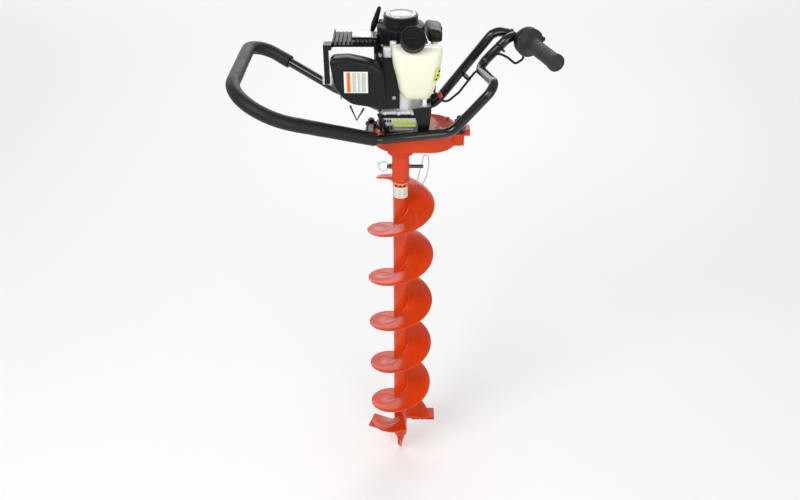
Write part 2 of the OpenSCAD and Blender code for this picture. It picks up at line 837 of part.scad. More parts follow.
module fuel_tank() {
    color("cornsilk") difference() {
        union() {
            difference() {
                translate([0, tank_back, engine_z]) tank_shape(0, tank_depth);
                on_cap() cylinder(h = 40, r = cap_r + 1);
            }
            on_cap() translate([0, 0, -25]) cylinder(h = 31, r = 17);
        }
        difference() {
            translate([0, tank_back - tank_wall, engine_z]) tank_shape(tank_wall, tank_depth - 2 * tank_wall);
            on_cap() translate([0, 0, -tank_wall]) cylinder(h = 40, r = cap_r + 1 + tank_wall);
        }
        on_cap() translate([0, 0, -22]) cylinder(h = 40, r = 14);
    }
}

module fuel_cap() {
    color("black") difference() {
        on_cap() {
            translate([0, 0, 0.5]) cylinder(h = 16, r = cap_r);
            translate([0, 0, 16]) cylinder(h = 2.5, r1 = cap_r, r2 = cap_r - 3);
        }
        on_cap() translate([0, 0, -2]) cylinder(h = 14, r = 17 + gap);
    }
}

module recoil_housing() {
    color("black") difference() {
        union() {
            disc(53, shroud_top, shroud_top + 6);
            disc(47, shroud_top, recoil_step);
            translate([0, 0, recoil_step]) cylinder(h = 5, r1 = 46, r2 = 36);
            disc(34, recoil_step, recoil_top);
            translate([-42.5, rope_y, rope_z]) rotate([0, 90, 0]) cylinder(h = 14.5, r = 7);
        }
        difference() {
            union() {
                disc(43, shroud_top - 1, recoil_step - 3);
                disc(30, recoil_step - 5, recoil_top - 3);
            }
            disc(6, rope_z - 6, recoil_top);
        }
        translate([-50, rope_y, rope_z]) rotate([0, 90, 0]) cylinder(h = 24, r = 2.6);
    }
}

module recoil_badge() {
    color("silver") disc(30, recoil_top + 0.05, recoil_top + 1.5);
}

module recoil_pulley() {
    color("dimgray") difference() {
        union() {
            disc(32, rope_z - 4, rope_z - 2.5);
            disc(27.2, rope_z - 3, rope_z + 3);
            disc(32, rope_z + 2.5, rope_z + 4);
            disc(10, rope_z - 8, rope_z + 6);
        }
        disc(6 + fit, rope_z - 6.5, rope_z + 20);
    }
}

module pull_handle() {
    color("black") translate([-52, rope_y, rope_z]) {
        rotate([0, 18, 0]) hull() {
            translate([0, 0, -16]) sphere(r = 5, $fn = 24);
            translate([0, 0, 0]) sphere(r = 7, $fn = 24);
            translate([0, 0, 30]) sphere(r = 4.5, $fn = 24);
        }
        rotate([0, 90, 0]) cylinder(h = 7.5, r1 = 7, r2 = 4.5);
    }
}

module starter_rope() {
    color("white") translate([-44.4, rope_y, rope_z]) rotate([0, 90, 0]) cylinder(h = 44, r = 1.9);
}

module air_cleaner_cover() {
    color("black") difference() {
        hull() for (p = [[64, -14, 158], [73, -14, 154], [55, 38, 158], [73, 38, 154]])
            translate([p.x, p.y, engine_z]) {
                translate([0, 0, p.z]) sphere(r = 9, $fn = 24);
                translate([0, 0, 142]) cylinder(h = 1, r = 9, $fn = 24);
            }
        block([59, -19, engine_z + 130], [77, 42, engine_z + 155]);
    }
}

module air_filter() {
    color("goldenrod") block([60, -18, engine_z + 142.3], [76, 41, engine_z + 154.5]);
}

module carburetor() {
    color("silver") difference() {
        union() {
            block([50.2, 10, crank_z - 12], [74, 34, crank_z + 30]);
            translate([67, 22, crank_z + 29]) cylinder(h = 58, r = 7);
            block([60, -12, crank_z + 83], [78, 32, crank_z + 87]);
            translate([70, 22, crank_z + 4]) rotate([0, 90, 0]) cylinder(h = 8, r = 5);
        }
        translate([67, 22, crank_z + 20]) cylinder(h = 80, r = 5);
    }
}

module throttle_lever() {
    color("silver") difference() {
        union() {
            block([78.4, 18, crank_z], [81, 26, crank_z + 26]);
            translate([78.4, 22, crank_z + 4]) rotate([0, 90, 0]) cylinder(h = 2.6, r = 6);
        }
        translate([70, 22, crank_z + 22]) rotate([0, 90, 0]) cylinder(h = 20, r = 1.2);
    }
}

module choke_lever() {
    color("black") {
        translate([67, 34.4, crank_z + 20]) rotate([-90, 0, 0]) cylinder(h = 4, r = 6);
        block([64.5, 35, crank_z + 20], [69.5, 38, crank_z + 44]);
    }
}

switch_seat = [66, 0, engine_z + 13];

module on_switch() {
    translate(switch_seat) rotate([0, 58, 0]) children();
}

module stop_switch() {
    color("black") difference() {
        union() {
            on_switch() cylinder(h = 14, r1 = 11, r2 = 9);
            block([54, -9, engine_z + 9.2], [70, 9, engine_z + 17]);
        }
        on_switch() translate([0, 0, 5]) cylinder(h = 20, r = 6.6);
    }
}

module stop_button() {
    color("red") on_switch() {
        translate([0, 0, 8.5]) cylinder(h = 13, r = 6.3);
    }
}

pilot_point();
auger_tube();
auger_flighting();
lower_flighting();
cutter_blades();
blade_bolts();
auger_hub();
output_shaft();
output_gear();
hitch_pin();
pull_ring();
hairpin_clip();
countershaft();
countershaft_gear();
input_pinion();
clutch_drum();
crankshaft();
flywheel();
clutch_shoe_left();
clutch_shoe_right();
recoil_pulley();
pull_handle();
starter_rope();
twist_grip();
throttle_lever();
choke_lever();
stop_button();
fuel_cap();
gear_case();
gear_case_cover();
cover_bolts();
gearbox_bearings();
output_seal();
rubber_isolators();
frame_brackets();
loop_tube();
front_rail_tube();
rear_rail_tube();
foam_sleeve();
throttle_housing();
throttle_cable();
clutch_housing();
engine_braces();
crankcase();
finned_cylinder();
piston();
cylinder_cowl();
guard_bar();
muffler();
muffler_cover();
support_wire();
spark_plug();
fuel_tank();
recoil_housing();
recoil_badge();
air_cleaner_cover();
air_filter();
carburetor();
stop_switch();
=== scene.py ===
from math import cos, degrees, pi, radians, sin, tan, tau

import bmesh
import bpy
from mathutils import Matrix, Vector, noise


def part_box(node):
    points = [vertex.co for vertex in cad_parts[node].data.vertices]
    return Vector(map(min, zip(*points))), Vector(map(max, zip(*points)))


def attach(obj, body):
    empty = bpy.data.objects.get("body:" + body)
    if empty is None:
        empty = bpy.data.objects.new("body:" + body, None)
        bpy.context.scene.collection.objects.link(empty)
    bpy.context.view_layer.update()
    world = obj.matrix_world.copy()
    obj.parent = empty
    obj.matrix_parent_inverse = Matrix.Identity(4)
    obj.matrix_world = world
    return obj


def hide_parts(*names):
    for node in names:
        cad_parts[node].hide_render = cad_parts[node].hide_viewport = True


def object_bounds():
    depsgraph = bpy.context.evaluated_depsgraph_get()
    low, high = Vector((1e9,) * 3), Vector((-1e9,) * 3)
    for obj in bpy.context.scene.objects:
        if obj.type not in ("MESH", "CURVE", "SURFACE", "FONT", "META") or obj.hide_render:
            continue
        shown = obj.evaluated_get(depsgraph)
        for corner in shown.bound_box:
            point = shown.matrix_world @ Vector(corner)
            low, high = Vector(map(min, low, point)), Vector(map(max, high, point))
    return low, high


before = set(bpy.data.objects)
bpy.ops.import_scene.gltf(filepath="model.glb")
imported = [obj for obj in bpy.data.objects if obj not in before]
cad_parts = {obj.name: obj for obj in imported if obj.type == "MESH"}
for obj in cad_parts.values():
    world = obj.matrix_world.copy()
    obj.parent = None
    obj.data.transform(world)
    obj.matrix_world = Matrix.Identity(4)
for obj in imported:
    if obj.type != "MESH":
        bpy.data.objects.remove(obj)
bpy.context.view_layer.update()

MM = 0.001
scene = bpy.context.scene
scene.view_settings.view_transform = "Standard"


# ---------------------------------------------------------------- places taken from the frame

def low(node):
    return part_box(node)[0]


def high(node):
    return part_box(node)[1]


def middle(node):
    return (low(node) + high(node)) / 2


# ---------------------------------------------------------------- materials

class Nodes:
    """A material's node tree, with short names for the few nodes that the materials here need."""

    def __init__(self, name):
        self.material = bpy.data.materials.new(name)
        self.material.use_nodes = True
        self.tree = self.material.node_tree
        self.shader = self.tree.nodes["Principled BSDF"]
        self.place = self.add("ShaderNodeTexCoord").outputs["Object"]

    def add(self, kind, **inputs):
        node = self.tree.nodes.new(kind)
        for name, value in inputs.items():
            node.inputs[name.replace("_", " ")].default_value = value
        return node

    def join(self, source, target):
        self.tree.links.new(source, target)

    def stretched(self, scale):
        mapping = self.add("ShaderNodeMapping", Scale=scale)
        self.join(self.place, mapping.inputs["Vector"])
        return mapping.outputs["Vector"]

    def noise(self, scale, detail=3.0, roughness=0.55, place=None):
        node = self.add("ShaderNodeTexNoise", Scale=scale, Detail=detail, Roughness=roughness)
        self.join(place or self.place, node.inputs["Vector"])
        return node.outputs["Fac"]

    def cells(self, scale):
        node = self.add("ShaderNodeTexVoronoi", Scale=scale)
        self.join(self.place, node.inputs["Vector"])
        return node.outputs["Distance"]

    def ramp(self, fac, stops):
        node = self.add("ShaderNodeValToRGB")
        self.join(fac, node.inputs["Fac"])
        elements = node.color_ramp.elements
        while len(elements) < len(stops):
            elements.new(0.5)
        for element, (spot, color) in zip(elements, stops):
            element.position = spot
            element.color = (*color, 1)
        return node.outputs["Color"]

    def span(self, fac, start, end, fac_min=0.3, fac_max=0.7):
        node = self.add("ShaderNodeMapRange", To_Min=start, To_Max=end, From_Min=fac_min, From_Max=fac_max)
        self.join(fac, node.inputs["Value"])
        return node.outputs["Result"]

    def mix(self, fac, a, b):
        node = self.tree.nodes.new("ShaderNodeMix")
        node.data_type = "RGBA"
        self.join(fac, node.inputs[0])
        for socket, value in ((node.inputs[6], a), (node.inputs[7], b)):
            if isinstance(value, tuple):
                socket.default_value = (*value, 1)
            else:
                self.join(value, socket)
        return node.outputs[2]

    def color(self, source):
        self.join(source, self.shader.inputs["Base Color"])

    def rough(self, source):
        self.join(source, self.shader.inputs["Roughness"])

    def bump(self, *layers, edge=0.0):
        """Layers of (height, strength, distance) over one another, and edges rounded by `edge`."""
        normal = None
        if edge:
            rounded = self.tree.nodes.new("ShaderNodeBevel")
            rounded.samples = 4
            rounded.inputs["Radius"].default_value = edge
            normal = rounded.outputs["Normal"]
        for height, strength, distance in layers:
            node = self.add("ShaderNodeBump", Strength=strength, Distance=distance)
            self.join(height, node.inputs["Height"])
            if normal:
                self.join(normal, node.inputs["Normal"])
            normal = node.outputs["Normal"]
        self.join(normal, self.shader.inputs["Normal"])

    def set(self, **values):
        for name, value in values.items():
            self.shader.inputs[name.replace("_", " ")].default_value = value


def shade(color, factor):
    return tuple(channel * factor for channel in color)


def paint(name, color, rough=0.28, coat=1.0, wear=(0.30, 0.28, 0.26), worn=0.70, edge=0.0, gloss=0.25):
    """Sprayed and baked enamel: faint mottling, orange peel, rubbed spots and a clear gloss."""
    n = Nodes(name)
    mottled = n.ramp(n.noise(9), [(0.3, shade(color, 0.86)), (0.7, shade(color, 1.08))])
    rubbed = n.ramp(n.noise(55, 8, 0.72), [(worn, (0, 0, 0)), (worn + 0.03, (1, 1, 1))])
    n.color(n.mix(rubbed, mottled, wear))
    n.rough(n.span(n.noise(40, 5), rough * 0.75, rough * 1.35))
    n.bump((n.noise(420, 2), 0.10, 0.0006), (n.noise(28, 3), 0.12, 0.002), edge=edge)
    n.set(Coat_Weight=coat, Coat_Roughness=0.06, Specular_IOR_Level=gloss)
    return n.material


def moulded(name, color, rough=0.42, grain=1500, strength=0.16, edge=0.0008, coat=0.0):
    """Moulded plastic with a fine spark-eroded grain and faint scuffs."""
    n = Nodes(name)
    scuffs = n.ramp(n.noise(90, 8, 0.75), [(0.56, (0, 0, 0)), (0.78, (1, 1, 1))])
    base = n.ramp(n.noise(14), [(0.3, shade(color, 0.82)), (0.7, shade(color, 1.2))])
    n.color(n.mix(scuffs, base, tuple(min(1, channel * 1.5 + 0.012) for channel in color)))
    n.rough(n.span(n.noise(60, 5), rough * 0.8, rough * 1.25))
    n.bump((n.cells(grain), strength, 0.0003), (n.noise(35), 0.08, 0.002), edge=edge)
    n.set(Coat_Weight=coat, Coat_Roughness=0.15, Specular_IOR_Level=0.2)
    return n.material


def metal(name, color, rough=0.32, brushed=(1, 1, 14), grain=260, stain=(0.25, 0.22, 0.19), edge=0.0005):
    """Bare or plated metal, brushed along one axis, with a few darker stains."""
    n = Nodes(name)
    lines = n.noise(grain, 4, 0.6, n.stretched(brushed))
    stains = n.ramp(n.noise(70, 7, 0.7), [(0.60, (0, 0, 0)), (0.80, (1, 1, 1))])
    n.color(n.mix(stains, n.ramp(lines, [(0.3, shade(color, 0.8)), (0.7, color)]), stain))
    n.rough(n.span(lines, rough * 0.75, rough * 1.4))
    n.bump((lines, 0.12, 0.0003), edge=edge)
    n.set(Metallic=1.0)
    return n.material


def cast(name, color, rough=0.5, edge=0.0008):
    """Sand-cast or die-cast aluminium with a pebbled skin."""
    n = Nodes(name)
    n.color(n.ramp(n.noise(30, 6, 0.65), [(0.3, shade(color, 0.72)), (0.7, color)]))
    n.rough(n.span(n.noise(80, 4), rough * 0.8, rough * 1.2))
    n.bump((n.noise(600, 4), 0.25, 0.0005), (n.cells(240), 0.08, 0.0006), edge=edge)
    n.set(Metallic=0.85)
    return n.material


def rubber(name, color, rough=0.7, pores=900, strength=0.3, sheen=0.0):
    """Foam or solid rubber: matte, with pores, lighter where it is rubbed."""
    n = Nodes(name)
    dusty = n.ramp(n.noise(22, 6, 0.7), [(0.35, shade(color, 0.75)), (0.75, shade(color, 1.6))])
    n.color(dusty)
    n.rough(n.span(n.noise(120, 4), rough * 0.85, min(1, rough * 1.15)))
    n.bump((n.cells(pores), strength, 0.0004), (n.noise(140, 4), 0.18, 0.0010))
    n.set(Sheen_Weight=sheen, Sheen_Roughness=0.5, Specular_IOR_Level=0.35)
    return n.material


def tank_material():
    """Natural polyethylene: milky, a little see-through, darker towards the bottom."""
    n = Nodes("tank_plastic")
    axes = n.add("ShaderNodeSeparateXYZ")
    n.join(n.place, axes.inputs["Vector"])
    level = n.span(axes.outputs["Z"], 0.0, 1.0, low("fuel_tank").z, high("fuel_tank").z)
    milky = n.ramp(level, [(0.1, (0.76, 0.75, 0.58)), (0.75, (0.84, 0.83, 0.69))])
    clouds = n.ramp(n.noise(25, 4), [(0.62, (0, 0, 0)), (1.0, (0.3, 0.3, 0.3))])
    n.color(n.mix(clouds, milky, (0.78, 0.77, 0.60)))
    n.rough(n.span(n.noise(60, 4), 0.30, 0.42))
    n.bump((n.noise(500, 3), 0.05, 0.0004), (n.noise(18), 0.10, 0.002))
    n.set(Subsurface_Weight=0.35, Subsurface_Radius=(0.02, 0.018, 0.009), Subsurface_Scale=0.6,
          Coat_Weight=0.25, Coat_Roughness=0.2)
    return n.material


ORANGE = (0.66, 0.050, 0.003)
M = {
    "orange": paint("orange_paint", ORANGE, rough=0.34, coat=0.45, worn=0.78, gloss=0.15),
    "orange_cast": paint("orange_casting", shade(ORANGE, 0.97), rough=0.36, coat=0.2, worn=0.80,
                         gloss=0.15, edge=0.0012),
    "gloss_black": paint("gloss_black_paint", (0.004, 0.004, 0.004), rough=0.16, coat=0.6,
                         wear=(0.05, 0.05, 0.05), worn=0.80),
    "satin_black": paint("satin_black_paint", (0.005, 0.005, 0.005), rough=0.38, coat=0.1,
                         wear=(0.06, 0.06, 0.055), worn=0.76, edge=0.0008),
    "plastic": moulded("black_plastic", (0.007, 0.007, 0.007), rough=0.38),
    "plastic_olive": moulded("charcoal_plastic", (0.011, 0.011, 0.009), rough=0.40),
    "cover": moulded("cover_enamel", (0.007, 0.007, 0.007), rough=0.36, grain=900, coat=0.1),
    "red": moulded("red_plastic", (0.70, 0.012, 0.018), rough=0.32, strength=0.06, coat=0.5),
    "red_washer": moulded("red_washer", (0.62, 0.045, 0.020), rough=0.4, strength=0.08),
    "grip": rubber("grip_rubber", (0.024, 0.024, 0.021), rough=0.55, pores=1400, strength=0.15, sheen=0.03),
    "foam": rubber("foam_rubber", (0.0075, 0.0070, 0.0058), rough=0.50, pores=620, strength=0.30,
                   sheen=0.02),
    "rubber": rubber("mount_rubber", (0.014, 0.014, 0.014)),
    "jacket": moulded("cable_jacket", (0.008, 0.008, 0.008), rough=0.35, strength=0.05, edge=0),
    "zinc": metal("zinc_wire", (0.72, 0.72, 0.70), rough=0.24, grain=900),
    "steel": metal("machined_steel", (0.50, 0.50, 0.50), rough=0.30),
    "dark_steel": metal("black_oxide_steel", (0.11, 0.10, 0.095), rough=0.38),
    "brass_bolt": metal("yellow_zinc", (0.46, 0.36, 0.18), rough=0.34),
    "badge": metal("brushed_badge", (0.42, 0.43, 0.44), rough=0.36, brushed=(1, 14, 1),
                   stain=(0.55, 0.56, 0.58)),
    "alu": cast("cast_aluminium", (0.80, 0.81, 0.80)),
    "ceramic": moulded("glazed_ceramic", (0.78, 0.77, 0.70), rough=0.2, strength=0.03, coat=0.8),
    "rope": rubber("starter_cord", (0.72, 0.71, 0.66), rough=0.8, pores=500),
    "filter": rubber("filter_foam", (0.34, 0.25, 0.09), rough=0.9, pores=420),
    "lining": cast("clutch_lining", (0.24, 0.20, 0.16), rough=0.7),
    "tank": tank_material(),
    "label_silver": metal("label_silver", (0.70, 0.71, 0.70), rough=0.35, edge=0, stain=(0.5, 0.5, 0.5)),
}
LABEL_COLORS = {
    "label_white": (0.78, 0.80, 0.76), "label_grey": (0.52, 0.56, 0.50),
    "label_orange": (0.80, 0.16, 0.012), "label_lime": (0.52, 0.56, 0.10),
    "label_yellow": (0.78, 0.74, 0.03), "label_black": (0.015, 0.015, 0.015),
}
for label_name, label_color in LABEL_COLORS.items():
    M[label_name] = moulded(label_name, label_color, rough=0.35, strength=0.03, edge=0)

CAD_FINISH = {
    "orange_cast": "pilot_point cutter_blades gear_case gear_case_cover",
    "steel": "output_shaft output_gear countershaft countershaft_gear input_pinion crankshaft "
             "gearbox_bearings clutch_drum throttle_lever",
    "dark_steel": "hitch_pin muffler support_wire",
    "brass_bolt": "cover_bolts blade_bolts",
    "satin_black": "frame_brackets engine_braces guard_bar clutch_housing",
    "plastic": "cylinder_cowl recoil_housing recoil_pulley choke_lever stop_switch throttle_housing",
    "alu": "crankcase finned_cylinder piston carburetor flywheel",
    "rubber": "rubber_isolators output_seal",
    "red": "stop_button",
    "badge": "recoil_badge",
    "ceramic": "spark_plug",
    "rope": "starter_rope",
    "filter": "air_filter",
    "lining": "clutch_shoe_left clutch_shoe_right",
}
for finish, names in CAD_FINISH.items():
    for node in names.split():
        node_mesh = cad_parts[node].data
        node_mesh.materials.clear()
        node_mesh.materials.append(M[finish])


# ---------------------------------------------------------------- mesh tools

def finish_piece(name, bm, materials, body, replaces=(), sharp=38):
    """Closes off a bmesh as an object that rides on a CAD body, smooth but for its sharp edges."""
    bmesh.ops.remove_doubles(bm, verts=bm.verts, dist=1e-7)
    bmesh.ops.recalc_face_normals(bm, faces=bm.faces)
    for face in bm.faces:
        face.smooth = True
    for edge in bm.edges:
        edge.smooth = len(edge.link_faces) == 2 and edge.calc_face_angle(0) < radians(sharp)
    mesh = bpy.data.meshes.new(name)
    bm.to_mesh(mesh)
    bm.free()
    for material in materials if isinstance(materials, list) else [materials]:
        mesh.materials.append(M[material])
    piece = bpy.data.objects.new(name, mesh)
    scene.collection.objects.link(piece)
    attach(piece, body)
    if replaces:
        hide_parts(*replaces)
    return piece


def skin(bm, loops, closed_ends=True):
    """Joins a list of equally long vertex loops into a tube, with a face across each end."""
    count = len(loops[0])
    for lower, upper in zip(loops, loops[1:]):
        for k in range(count):
            n = (k + 1) % count
            bm.faces.new((lower[k], lower[n], upper[n], upper[k]))
    if closed_ends:
        bm.faces.new(list(reversed(loops[0])))
        bm.faces.new(loops[-1])


def bend(route, step=4.0):
    """Points along a route of (corner, radius), each corner rounded by an arc."""
    line = [Vector(route[0][0])]
    for (before, _), (corner, radius), (after, _) in zip(route, route[1:], route[2:]):
        before, corner, after = Vector(before), Vector(corner), Vector(after)
        u, w = (before - corner).normalized(), (after - corner).normalized()
        turn = pi - u.angle(w)
        if radius == 0 or turn < 0.02:
            line.append(corner)
            continue
        start = corner + u * radius * tan(turn / 2)
        centre = corner + (u + w).normalized() * radius / cos(turn / 2)
        side = (start - centre).normalized()
        steps = max(3, round(degrees(turn) / step))
        for i in range(steps + 1):
            a = turn * i / steps
            line.append(centre + radius * (side * cos(a) - u * sin(a)))
    line.append(Vector(route[-1][0]))
    return line


def even(line, spacing):
    """The same line with extra points on its long straight stretches."""
    out = [line[0]]
    for a, b in zip(line, line[1:]):
        count = max(1, round((b - a).length / spacing))
        out += [a.lerp(b, i / count) for i in range(1, count + 1)]
    return out


def sweep(bm, line, radius, sides=28, bore=None, rim=0.0):
    """A round bar, or a tube if bore is given, along a line. radius may depend on (i, angle)."""
    radius_at = radius if callable(radius) else (lambda i, a: radius)
    tangents = []
    for i in range(len(line)):
        tangents.append((line[min(i + 1, len(line) - 1)] - line[max(i - 1, 0)]).normalized())
    normal = tangents[0].orthogonal().normalized()
    frames = []
    for t in tangents:
        normal = (normal - t * normal.dot(t)).normalized()
        frames.append((normal, t.cross(normal)))

    def loop(i, r):
        n, b = frames[i]
        made = []
        for k in range(sides):
            a = tau * k / sides
            made.append(bm.verts.new(line[i] + (n * cos(a) + b * sin(a)) * r(i, a)))
        return made

    outer = [loop(i, radius_at) for i in range(len(line))]
    if rim:  # rounded shoulders at both ends
        for end, sign in ((0, -1), (len(line) - 1, 1)):
            loops = []
            for turn in (30, 60, 85):
                a = radians(turn)
                shift = tangents[end] * sign * rim * sin(a)
                shrink = rim * (1 - cos(a))
                ring = loop(end, lambda i, x, s=shrink: radius_at(i, x) - s)
                for v in ring:
                    v.co += shift
                loops.append(ring)
            outer = list(reversed(loops)) + outer if end == 0 else outer + loops
    if bore is None:
        skin(bm, outer)
        return
    inner = [loop(i, lambda i, a: bore) for i in range(len(line))]
    skin(bm, [inner[0]] + outer + list(reversed(inner)), closed_ends=False)


def lathe(bm, profile, matrix=None, steps=72, wave=None):
    """Turns a profile of (radius, height) about Z. wave(angle, radius, height) scales the radius."""
    matrix = matrix or Matrix.Identity(4)
    loops = []
    for r, z in profile:
        loop = []
        for k in range(steps):
            a = tau * k / steps
            rr = r * wave(a, r, z) if wave else r
            loop.append(bm.verts.new(matrix @ Vector((rr * cos(a), rr * sin(a), z))))
        loops.append(loop)
    skin(bm, loops)


def rounded(points, radius, step=12):
    """A closed outline in the plane with every corner rounded. radius may be one per corner."""
    out = []
    count = len(points)
    radii = radius if isinstance(radius, (list, tuple)) else [radius] * count
    for i in range(count):
        before, corner, after = (Vector(points[(i + d) % count]) for d in (-1, 0, 1))
        u, w = (before - corner).normalized(), (after - corner).normalized()
        turn = pi - u.angle(w)
        reach = min(radii[i] * tan(turn / 2), (before - corner).length * 0.45,
                    (after - corner).length * 0.45)
        r = reach / tan(turn / 2)
        start = corner + u * reach
        centre = corner + (u + w).normalized() * r / cos(turn / 2)
        side = (start - centre).normalized()
        steps = max(2, round(degrees(turn) / step))
        out += [centre + r * (side * cos(turn * k / steps) - u * sin(turn * k / steps))
                for k in range(steps + 1)]
    return out


def inset(outline, amount):
    """Every point of a closed outline moved inward along its own normal."""
    count = len(outline)
    area = sum(outline[i].x * outline[(i + 1) % count].y - outline[(i + 1) % count].x * outline[i].y
               for i in range(count))
    sign = 1 if area > 0 else -1
    out = []
    for i in range(count):
        along = (outline[(i + 1) % count] - outline[i - 1]).normalized()
        out.append(outline[i] + Vector((-along.y, along.x)) * amount * sign)
    return out


def loft(bm, outline, levels, place):
    """Stacks an outline at levels of (inset, height); place(x, y, height) puts a point in space."""
    loops = [[bm.verts.new(place(p.x, p.y, height)) for p in inset(outline, amount)]
             for amount, height in levels]
    skin(bm, loops)


def box(bm, lo, hi, r):
    """A block with upright edges rounded by r and softened top and bottom edges."""
    corners = [(lo[0], lo[1]), (hi[0], lo[1]), (hi[0], hi[1]), (lo[0], hi[1])]
    loft(bm, rounded(corners, r, 30), [(r * 0.7, lo[2]), (r * 0.2, lo[2] + r * 0.3), (0, lo[2] + r * 0.8),
                                       (0, hi[2] - r * 0.8), (r * 0.2, hi[2] - r * 0.3), (r * 0.7, hi[2])],
         lambda x, y, h: Vector((x, y, h)))


def patch(bm, place, u0, v0, u1, v1, lift, index=0, cells=(8, 6)):
    """A thin closed sheet over part of a surface. place(u, v, lift) gives its points."""
    nu, nv = cells

    def grid(height):
        return [[bm.verts.new(place(u0 + (u1 - u0) * i / nu, v0 + (v1 - v0) * j / nv, height))
                 for j in range(nv + 1)] for i in range(nu + 1)]

    top, base = grid(lift), grid(lift - 0.0002)
    for i in range(nu):
        for j in range(nv):
            for sheet, flip in ((top, False), (base, True)):
                quad = [sheet[i][j], sheet[i + 1][j], sheet[i + 1][j + 1], sheet[i][j + 1]]
                bm.faces.new(list(reversed(quad)) if flip else quad).material_index = index
    rim = ([(i, 0) for i in range(nu)] + [(nu, j) for j in range(nv)]
           + [(i, nv) for i in range(nu, 0, -1)] + [(0, j) for j in range(nv, 0, -1)])
    for (i, j), (m, n) in zip(rim, rim[1:] + rim[:1]):
        bm.faces.new((base[i][j], base[m][n], top[m][n], top[i][j])).material_index = index


def along(origin, direction):
    """A matrix that puts +Z along a direction at an origin."""
    return Matrix.Translation(origin) @ Vector(direction).to_track_quat("Z", "Y").to_matrix().to_4x4()


def arc_profile(r, z, size, quadrant):
    """Rounds a lathe profile's corner: points of a quarter circle that ends at (r, z)."""
    made = []
    for k in range(5):
        a = pi / 2 * k / 4
        if quadrant == "top":      # from the side up on to the top
            made.append((r - size + size * cos(a), z - size + size * sin(a)))
        else:                      # from the bottom up on to the side
            made.append((r - size + size * sin(a), z + size - size * cos(a)))
    return made


# ---------------------------------------------------------------- camera

CAMERA_TILT = radians(33.63)  # below the horizon
camera_data = bpy.data.cameras.new("camera")
camera_data.lens = 36.88
camera_data.sensor_width = 36
camera_data.clip_end = 50
camera = bpy.data.objects.new("camera", camera_data)
camera.location = (-0.0015, -1.585, 1.705)
camera.rotation_euler = (pi / 2 - CAMERA_TILT, 0, 0)
scene.collection.objects.link(camera)
bpy.context.scene.camera = camera


# ---------------------------------------------------------------- bit

TUBE_R = high("auger_tube").x
BIT_R = high("auger_flighting").x
PITCH = 0.133  # climb of the flights per turn
FLIGHT_T = 0.0045  # thickness of a flight
CUT_Z = low("auger_flighting").z
TURNS = 5.5
TAPER = 110  # degrees of the top turn over which the rim draws in
TAPER_R = 0.052
LOWER_START = 158  # degrees round the tube
LOWER_SWEEP = 124
LOWER_Z = low("lower_flighting").z
HUB_LOW, HUB_HIGH = low("auger_hub"), high("auger_hub")


def flight(bm, z0, start, sweep_angle, taper=0.0, end_r=None):
    """A helical plate with rounded rim and a slightly hammered face."""
    steps = round(sweep_angle / 5)
    outline = [(0.0, 0.0), (0.3, 0.0), (0.6, 0.0), (0.85, 0.0), (0.975, 0.0), (1.0, 0.25), (1.0, 0.75),
               (0.975, 1.0), (0.85, 1.0), (0.6, 1.0), (0.3, 1.0), (0.0, 1.0)]
    loops = []
    for i in range(steps + 1):
        turned = sweep_angle * i / steps
        left = sweep_angle - turned
        rim = BIT_R if left >= taper else end_r + (BIT_R - end_r) * left / taper
        a = radians(start + turned)
        inner = TUBE_R - 0.0006
        loop = []
        for across, up in outline:
            r = inner + (rim - inner) * across
            z = z0 + PITCH * turned / 360 + FLIGHT_T * up
            spot = Vector((r * cos(a), r * sin(a), z))
            if 0 < i < steps:
                spot.z += 0.0006 * across * noise.noise(spot * 24)
            loop.append(bm.verts.new(spot))
        loops.append(loop)
    skin(bm, loops)


def helix_bead(bm, z0, start, sweep_angle, radius, size):
    """A rippled weld bead along a flight's root."""
    steps = round(sweep_angle / 3)
    line = []
    for i in range(steps + 1):
        turned = sweep_angle * i / steps
        a = radians(start + turned)
        line.append(Vector((radius * cos(a), radius * sin(a), z0 + PITCH * turned / 360)))
    sweep(bm, line, lambda i, a: size * (1 + 0.16 * sin(i * 2.1) + 0.2 * noise.noise(line[i] * 90)), 8)


main_flight = bmesh.new()
flight(main_flight, CUT_Z, 0, 360 * TURNS, TAPER, TAPER_R)
finish_piece("main_flighting", main_flight, "orange", "auger", ["auger_flighting"], 50)

short_flight = bmesh.new()
flight(short_flight, LOWER_Z, LOWER_START, LOWER_SWEEP)
finish_piece("short_flighting", short_flight, "orange", "auger", ["lower_flighting"], 50)

beads = bmesh.new()
helix_bead(beads, CUT_Z + FLIGHT_T + 0.0012, 4, 360 * TURNS - 8, TUBE_R + 0.0012, 0.0026)
helix_bead(beads, CUT_Z - 0.0012, 4, 360 * TURNS - 8, TUBE_R + 0.0010, 0.0022)
helix_bead(beads, LOWER_Z + FLIGHT_T + 0.001, LOWER_START + 4, LOWER_SWEEP - 8, TUBE_R + 0.0010, 0.0022)
finish_piece("flight_welds", beads, "orange", "auger", sharp=80)

TUBE_Z = low("auger_tube").z
centre_tube = bmesh.new()
lathe(centre_tube, [(TUBE_R - 0.0035, TUBE_Z)] + arc_profile(TUBE_R, TUBE_Z, 0.001, "bottom")
      + [(TUBE_R, TUBE_Z + 0.02 * k) for k in range(1, 38)]
      + [(TUBE_R, HUB_LOW.z + 0.001), (TUBE_R - 0.0035, HUB_LOW.z + 0.001)],
      wave=lambda a, r, z: 1 + 0.002 * noise.noise(Vector((cos(a), sin(a), z * 12))))
finish_piece("centre_tube", centre_tube, "orange", "auger", ["auger_tube"])

